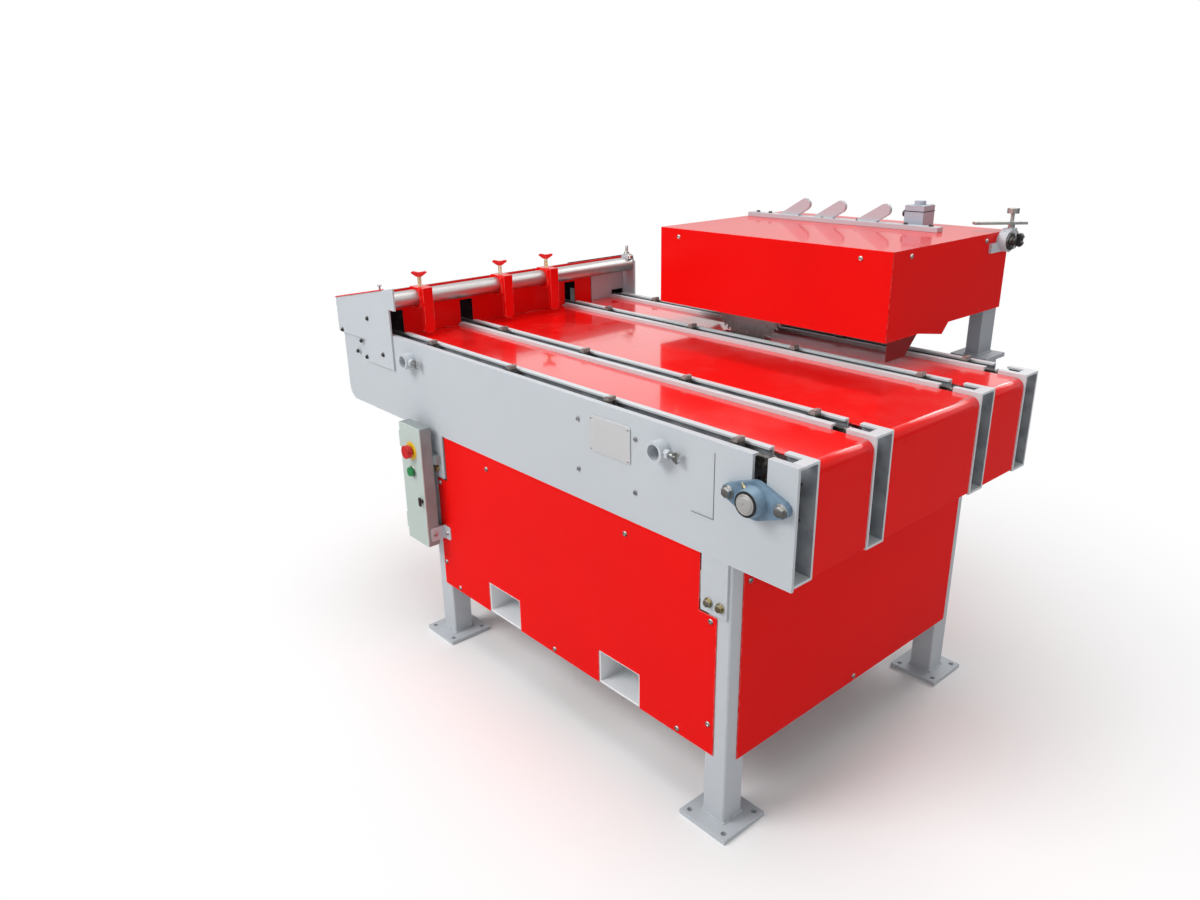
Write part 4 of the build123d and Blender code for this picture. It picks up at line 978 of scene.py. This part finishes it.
def toothedBlade(c):
    radius = (bladeHigh.x - bladeLow.x) / 2
    disc = ring(c["bore"], radius - c["rimGap"], c["thick"], -c["thick"] / 2, c["teeth"] * 4)
    pitch = 2 * math.pi / c["teeth"]
    for place, shrink in enumerate(c["gullet"], 1):
        pick("VERT", lambda p, n: p.xy.length > radius * c["rim"]
             and abs(math.atan2(p.y, p.x) % pitch - place * pitch / 4) < pitch / 9)
        bpy.ops.transform.resize(value=(shrink, shrink, 1), center_override=(0, 0, 0))
        leave()
    tip = slab(c["tip"], (0, 0, -c["tip"][2] / 2))
    ease(c["chamfer"], 1, lambda p, d: p.z > -c["chamfer"])
    spots = []
    for k in range(c["teeth"]):
        angle = k * pitch + c["ahead"]
        way = Vector((math.cos(angle), 0, math.sin(angle)))
        spots.append((way * radius, way))
    tips = spread(tip, spots)
    plate = spread(disc, [((0, 0, 0), rear)])
    for piece in (tips, plate):
        piece.data.transform(Matrix.Translation(bladeAxis) @ Matrix.Rotation(math.radians(c["turn"]), 4, "Y"))
    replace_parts(done(plate, "bladeDisc", "blade", "saw_arbor", c["smooth"]), "blade")
    done(tips, "bladeTips", "zinc", "saw_arbor", c["smooth"])
    away(disc, tip)


toothedBlade(bladeSet)
print("blade set")


# rear: cover tabs over the panel's upper corners, bolts of the stand's flanges

rearSet = {"tabs": ((-417, -327), (669, 759)), "low": 532, "high": 684, "face": 346.5, "thick": 4,
           "corner": 0.008, "round": 0.0008, "boltIn": 20, "boltUp": 572,
           "stands": (-141.5, 606.5), "flange": 346, "boltX": 46, "boltZ": (764, 876)}


def rearTrim(c):
    tabs, boltSpots = [], []
    outer = c["face"] + c["thick"]
    for x0, x1 in c["tabs"]:
        middle = mm((x0 + x1) / 2, (c["face"] + outer) / 2, (c["low"] + c["high"]) / 2)
        tabs.append(slab(mm(x1 - x0, c["thick"], c["high"] - c["low"]), middle))
        ease(c["corner"], 3, lambda p, d: along(d, "y") and p.z < middle.z)
        ease(c["round"], 2, lambda p, d: p.y > outer / 1000 - c["round"])
        boltSpots += [(mm(x, outer, c["boltUp"]), rear) for x in (x0 + c["boltIn"], x1 - c["boltIn"])]
    done(together(*tabs), "rearTabs", "grey", "frame")
    done(spread(bolt, boltSpots), "rearTabBolts", "yellowZinc", "frame")
    boltSpots = [(mm(x + side * c["boltX"], c["flange"], z), rear)
                 for x in c["stands"] for side in (-1, 1) for z in c["boltZ"]]
    done(spread(bolt, boltSpots), "standBolts", "zinc", "frame")


rearTrim(rearSet)
print("rear trim set")


# hopper: lid and its lip over the front plate, clamp on the bar's rear end, slot cover, screws, pin

lidSet = {"cut": 0.903, "band": 0.003, "inset": 0.018, "frontOf": -0.62, "chamfer": 0.0008, "smooth": 5,
          "lip": (0.316, 0.011, 0.0032), "lipAt": (-761, -627.5, 1042.2), "slope": 11.05, "lipRound": 0.0010,
          "screwFace": -914, "screwAcross": (-590, -145, 300), "screwUp": (740, 950)}


def shortLid(c):  # its end stays behind the side plate below the cut
    lid = sheetCopy("hopper_lid")
    for high in (c["cut"], c["cut"] - c["band"]):
        pick("FACE", lambda p, n: True)
        bpy.ops.mesh.bisect(plane_co=(0, 0, high), plane_no=(0, 0, 1))
        leave()
    middle = c["cut"] - c["band"] / 2
    pick("VERT", lambda p, n: p.z < middle and p.y < c["frontOf"])
    bpy.ops.transform.translate(value=(0, c["inset"], 0))
    leave()
    ease(c["chamfer"], 1, lambda p, d: abs(p.z - middle) > c["band"])
    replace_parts(done(lid, "notchedLid", "lid", "frame", c["smooth"]), "hopper_lid")
    lip = slab(c["lip"], (0, 0, 0))
    ease(c["lipRound"], 2, lambda p, d: not along(d, "z"))
    turn = Matrix.Rotation(-math.radians(c["slope"]), 4, "Y")
    lip.data.transform(Matrix.Translation(mm(*c["lipAt"])) @ turn)
    done(lip, "lidLip", "red", "frame")
    spots = [(mm(c["screwFace"], y, z), left) for y in c["screwAcross"] for z in c["screwUp"]]
    done(spread(screw, spots), "lidScrews", "zinc", "frame")


clampSet = {"saddle": (0.036, 0.020, 0.018), "at": (-566, 323, 1070), "round": 0.0040, "edge": 0.0010,
            "clear": 0.4, "stud": 0.0050, "studTall": 0.030, "studRound": 0.0012}


def barClamp(c):
    size, at = Vector(c["saddle"]), mm(*c["at"])
    block = slab(size, at)
    ease(c["round"], 3, lambda p, d: along(d, "y") and p.z > at.z)
    ease(c["edge"], 2, lambda p, d: not along(d, "y") and p.z > at.z - size.z * c["clear"])
    done(block, "barSaddle", "grey", "frame")
    stud = drum(c["stud"], c["studTall"], 20)
    ease(c["studRound"], 2, topEdge(c["studTall"]))
    crown = at + Vector((0, 0, size.z / 2))
    done(spread(stud, [(crown, top)]), "barStud", "zinc", "frame")
    spots = [(crown, top), (at + Vector((size.x / 2, 0, 0)), right)]
    done(spread(bolt, spots), "barNuts", "zinc", "frame")
    away(stud)


coverSet = {"low": (266, 953), "high": (333.4, 1016), "thick": 1.5, "corner": 0.0030, "edge": 0.0005,
            "screwIn": (6, 8)}


def slotCover(c):  # closes the last wall slot above the lugs
    (y0, z0), (y1, z1), inner = c["low"], c["high"], c["screwIn"]
    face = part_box("hopper_wall")[1].x * 1000
    middle = mm(face + c["thick"] / 2, (y0 + y1) / 2, (z0 + z1) / 2)
    cover = slab(mm(c["thick"], y1 - y0, z1 - z0), middle)
    ease(c["corner"], 3, lambda p, d: along(d, "x") and p.y < middle.y)
    ease(c["edge"], 1, lambda p, d: p.x > middle.x and not along(d, "x"))
    done(cover, "slotCover", "grey", "frame")
    spots = [(mm(face + c["thick"], y0 + inner[0], z), right) for z in (z0 + inner[1], z1 - inner[1])]
    done(spread(fine, spots), "coverScrews", "zinc", "frame")


pinSet = {"at": (-619, -627, 1068), "radius": 0.0030, "tall": 0.020, "low": -0.004,
          "cap": 0.0062, "capTall": 0.004, "capLow": 0.014, "round": 0.0012}


def hopperPin(c):
    pin = drum(c["radius"], c["tall"], 16, c["low"])
    cap = drum(c["cap"], c["capTall"], 20, c["capLow"])
    ease(c["round"], 2, topEdge(c["capLow"] + c["capTall"]))
    model = together(pin, cap)
    done(spread(model, [(mm(*c["at"]), top)]), "hopperPin", "zinc", "frame")
    away(model)


shortLid(lidSet)
barClamp(clampSet)
slotCover(coverSet)
hopperPin(pinSet)
print("hopper trim set")


# control box: mushroom surround, start bezel, lower bracket

buttonSet = {"surround": 0.0275, "stem": 0.0096, "thick": 0.0026, "round": 0.0010, "near": 0.05,
             "bezel": 0.0172, "startHead": 0.0146, "bezelTall": 0.0040, "bezelRound": 0.0012}


def buttonTrim(c):
    stop, start = (sum(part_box(name), Vector()) / 2 for name in ("stop_button", "start_button"))
    points = [v.co for v in nodes["control_door"].data.vertices]
    skin = min(p.y for p in points if abs(p.x - stop.x) < c["near"])  # the door's face by the buttons
    plate = ring(c["stem"], c["surround"], c["thick"])
    ease(c["round"], 2, rimEdge(c["stem"], c["surround"], c["thick"]))
    done(spread(plate, [(Vector((stop.x, skin, stop.z)), front)]), "stopSurround", "yellow", "box_door")
    bezel = ring(c["startHead"], c["bezel"], c["bezelTall"])
    ease(c["bezelRound"], 3, rimEdge(c["startHead"], c["bezel"], c["bezelTall"]))
    done(spread(bezel, [(Vector((start.x, skin, start.z)), front)]), "startBezel", "zinc", "box_door")
    away(plate, bezel)


bracketSet = {"across": (-368, -334), "reach": (-670, -621.2), "level": (346, 388), "thick": 3.2,
              "corner": 0.0060, "boltOff": 1, "boltIn": 14, "near": 0.001}


def angleBracket(c):  # one leg on the box's side, the other on the panel
    (x0, x1), (y0, y1), (z0, z1), t = c["across"], c["reach"], c["level"], c["thick"]
    angle = slab(mm(t, y1 - y0, z1 - z0), mm(x0 + t / 2, (y0 + y1) / 2, (z0 + z1) / 2))
    bend = (y1 - t) / 1000
    pick("FACE", lambda p, n: True)
    bpy.ops.mesh.bisect(plane_co=(0, bend, 0), plane_no=(0, 1, 0))
    leave()
    pick("FACE", lambda p, n: n.x > almost and p.y > bend)
    bpy.ops.mesh.extrude_region_move(TRANSFORM_OT_translate={"value": mm(x1 - x0 - t, 0, 0)})
    leave()
    ease(c["corner"], 3, lambda p, d: along(d, "x") and p.y < y0 / 1000 + c["near"])
    ease(c["corner"], 3, lambda p, d: along(d, "y") and p.x > x1 / 1000 - c["near"])
    done(angle, "boxBracket", "grey", "frame")
    middle = (z0 + z1) / 2
    spots = [(mm((x0 + t + x1) / 2 + c["boltOff"], y1 - t, middle), front),
             (mm(x0 + t, y0 + c["boltIn"], middle), right)]
    done(spread(small, spots), "bracketBolts", "zinc", "frame")


buttonTrim(buttonSet)
angleBracket(bracketSet)
away(screw, lesser, fine, bolt, small)
print("control box trim set")


# blank metal plate on the side plate

plateSet = {"low": (328, 818), "high": (466, 906), "thick": 0.0012, "corner": 0.005, "edge": 0.0003,
            "rivet": 0.0026, "rivetTall": 0.0014, "rivetRound": 0.0011, "rivetIn": 7}


def barePlate(c):
    (x0, z0), (x1, z1), inner = c["low"], c["high"], c["rivetIn"]
    middle = Vector(((x0 + x1) / 2000, sideFace - c["thick"] / 2, (z0 + z1) / 2000))
    plate = slab(((x1 - x0) / 1000, c["thick"], (z1 - z0) / 1000), middle)
    ease(c["corner"], 4, lambda p, d: along(d, "y"))
    ease(c["edge"], 1, lambda p, d: p.y < middle.y and not along(d, "y"))
    done(plate, "barePlate", "bare", "frame")
    rivet = drum(c["rivet"], c["rivetTall"], 16)
    ease(c["rivetRound"], 3, topEdge(c["rivetTall"]))
    corners = [(Vector((x / 1000, sideFace - c["thick"], z / 1000)), front)
               for x in (x0 + inner, x1 - inner) for z in (z0 + inner, z1 - inner)]
    done(spread(rivet, corners), "plateRivets", "zinc", "frame")
    away(rivet)


barePlate(plateSet)


# sealed joint where the side plate's outer sheet ends

seamSet = {"x": 0.714, "low": 0.768, "high": 0.914, "run": 0.062,
           "wide": 0.0017, "thin": 0.8, "proud": 0.0009, "round": 0.0004}


def sealedSeam(c):
    x, low, wide, run = c["x"], c["low"], c["wide"], c["run"]
    face, tall = sideFace - c["proud"] / 2, c["high"] - low
    upright = slab((wide, c["proud"], tall), (x, face, low + tall / 2))
    ease(c["round"], 2, lambda p, d: along(d, "z") and p.y < face)
    level = slab((run, c["proud"], wide * c["thin"]), (x - run / 2 - wide / 2, face, low))
    ease(c["round"], 2, lambda p, d: along(d, "x") and p.y < face)
    done(together(upright, level), "sealedSeam", "sealant", "frame")


sealedSeam(seamSet)
print("plate and joint set")


# weld beads where legs, columns and brackets meet their plates

weldSet = {
    "size": 0.0042, "pitch": 0.0040, "flat": 0.72, "segments": 8, "rings": 5,
    "legX": (-421.5, 700.5), "legY": (-618.0, 280.0), "leg": 63.5, "footTop": 12.5,
    "columnX": 19.5, "columnY": (606, 682), "columnLow": 872.5,
    "armX": 35, "armFace": 346.5, "armUp": (796, 860),
}


def weldRuns(c, runs, name, finish, body):
    bpy.ops.mesh.primitive_uv_sphere_add(segments=c["segments"], ring_count=c["rings"], radius=c["size"])
    bpy.ops.transform.resize(value=(1, 1, c["flat"]))
    fix()
    ripple = bpy.context.object
    beads = []
    for start, end in runs:
        way = end - start
        bead = together(twin(ripple))
        row = bead.modifiers.new("row", "ARRAY")
        row.use_relative_offset = False
        row.use_constant_offset = True
        row.constant_offset_displace = (0, 0, c["pitch"])
        row.count = max(2, round(way.length / c["pitch"]))
        bpy.ops.object.modifier_apply(modifier="row")
        turn = way.to_track_quat("Z", "Y").to_matrix().to_4x4()
        bead.data.transform(Matrix.Translation(start) @ turn)
        beads.append(bead)
    done(together(*beads), name, finish, body)
    away(ripple)


def square(x0, x1, y0, y1, z):  # four runs round an upright tube
    a, b, c, d = (mm(x, y, z) for x, y in ((x0, y0), (x1, y0), (x1, y1), (x0, y1)))
    return [(a, b), (b, c), (c, d), (d, a)]


def addWelds(c):
    runs = []
    for x in c["legX"]:
        for y in c["legY"]:
            runs += square(x, x + c["leg"], y, y + c["leg"], c["footTop"])
    weldRuns(c, runs, "footWelds", "grey", "frame")
    runs = []
    half, (low, high) = c["armX"], c["armUp"]
    for x in rearSet["stands"]:
        runs += square(x - c["columnX"], x + c["columnX"], *c["columnY"], c["columnLow"])
        corners = [mm(x + side, c["armFace"], z)
                   for side, z in ((-half, low), (-half, high), (half, high), (half, low))]
        runs += list(zip(corners, corners[1:]))
    # the stand's welds take its darker grey, which is painted shade
    weldRuns(c, runs, "standWelds", "stand", "frame")


addWelds(weldSet)
print("welds set")
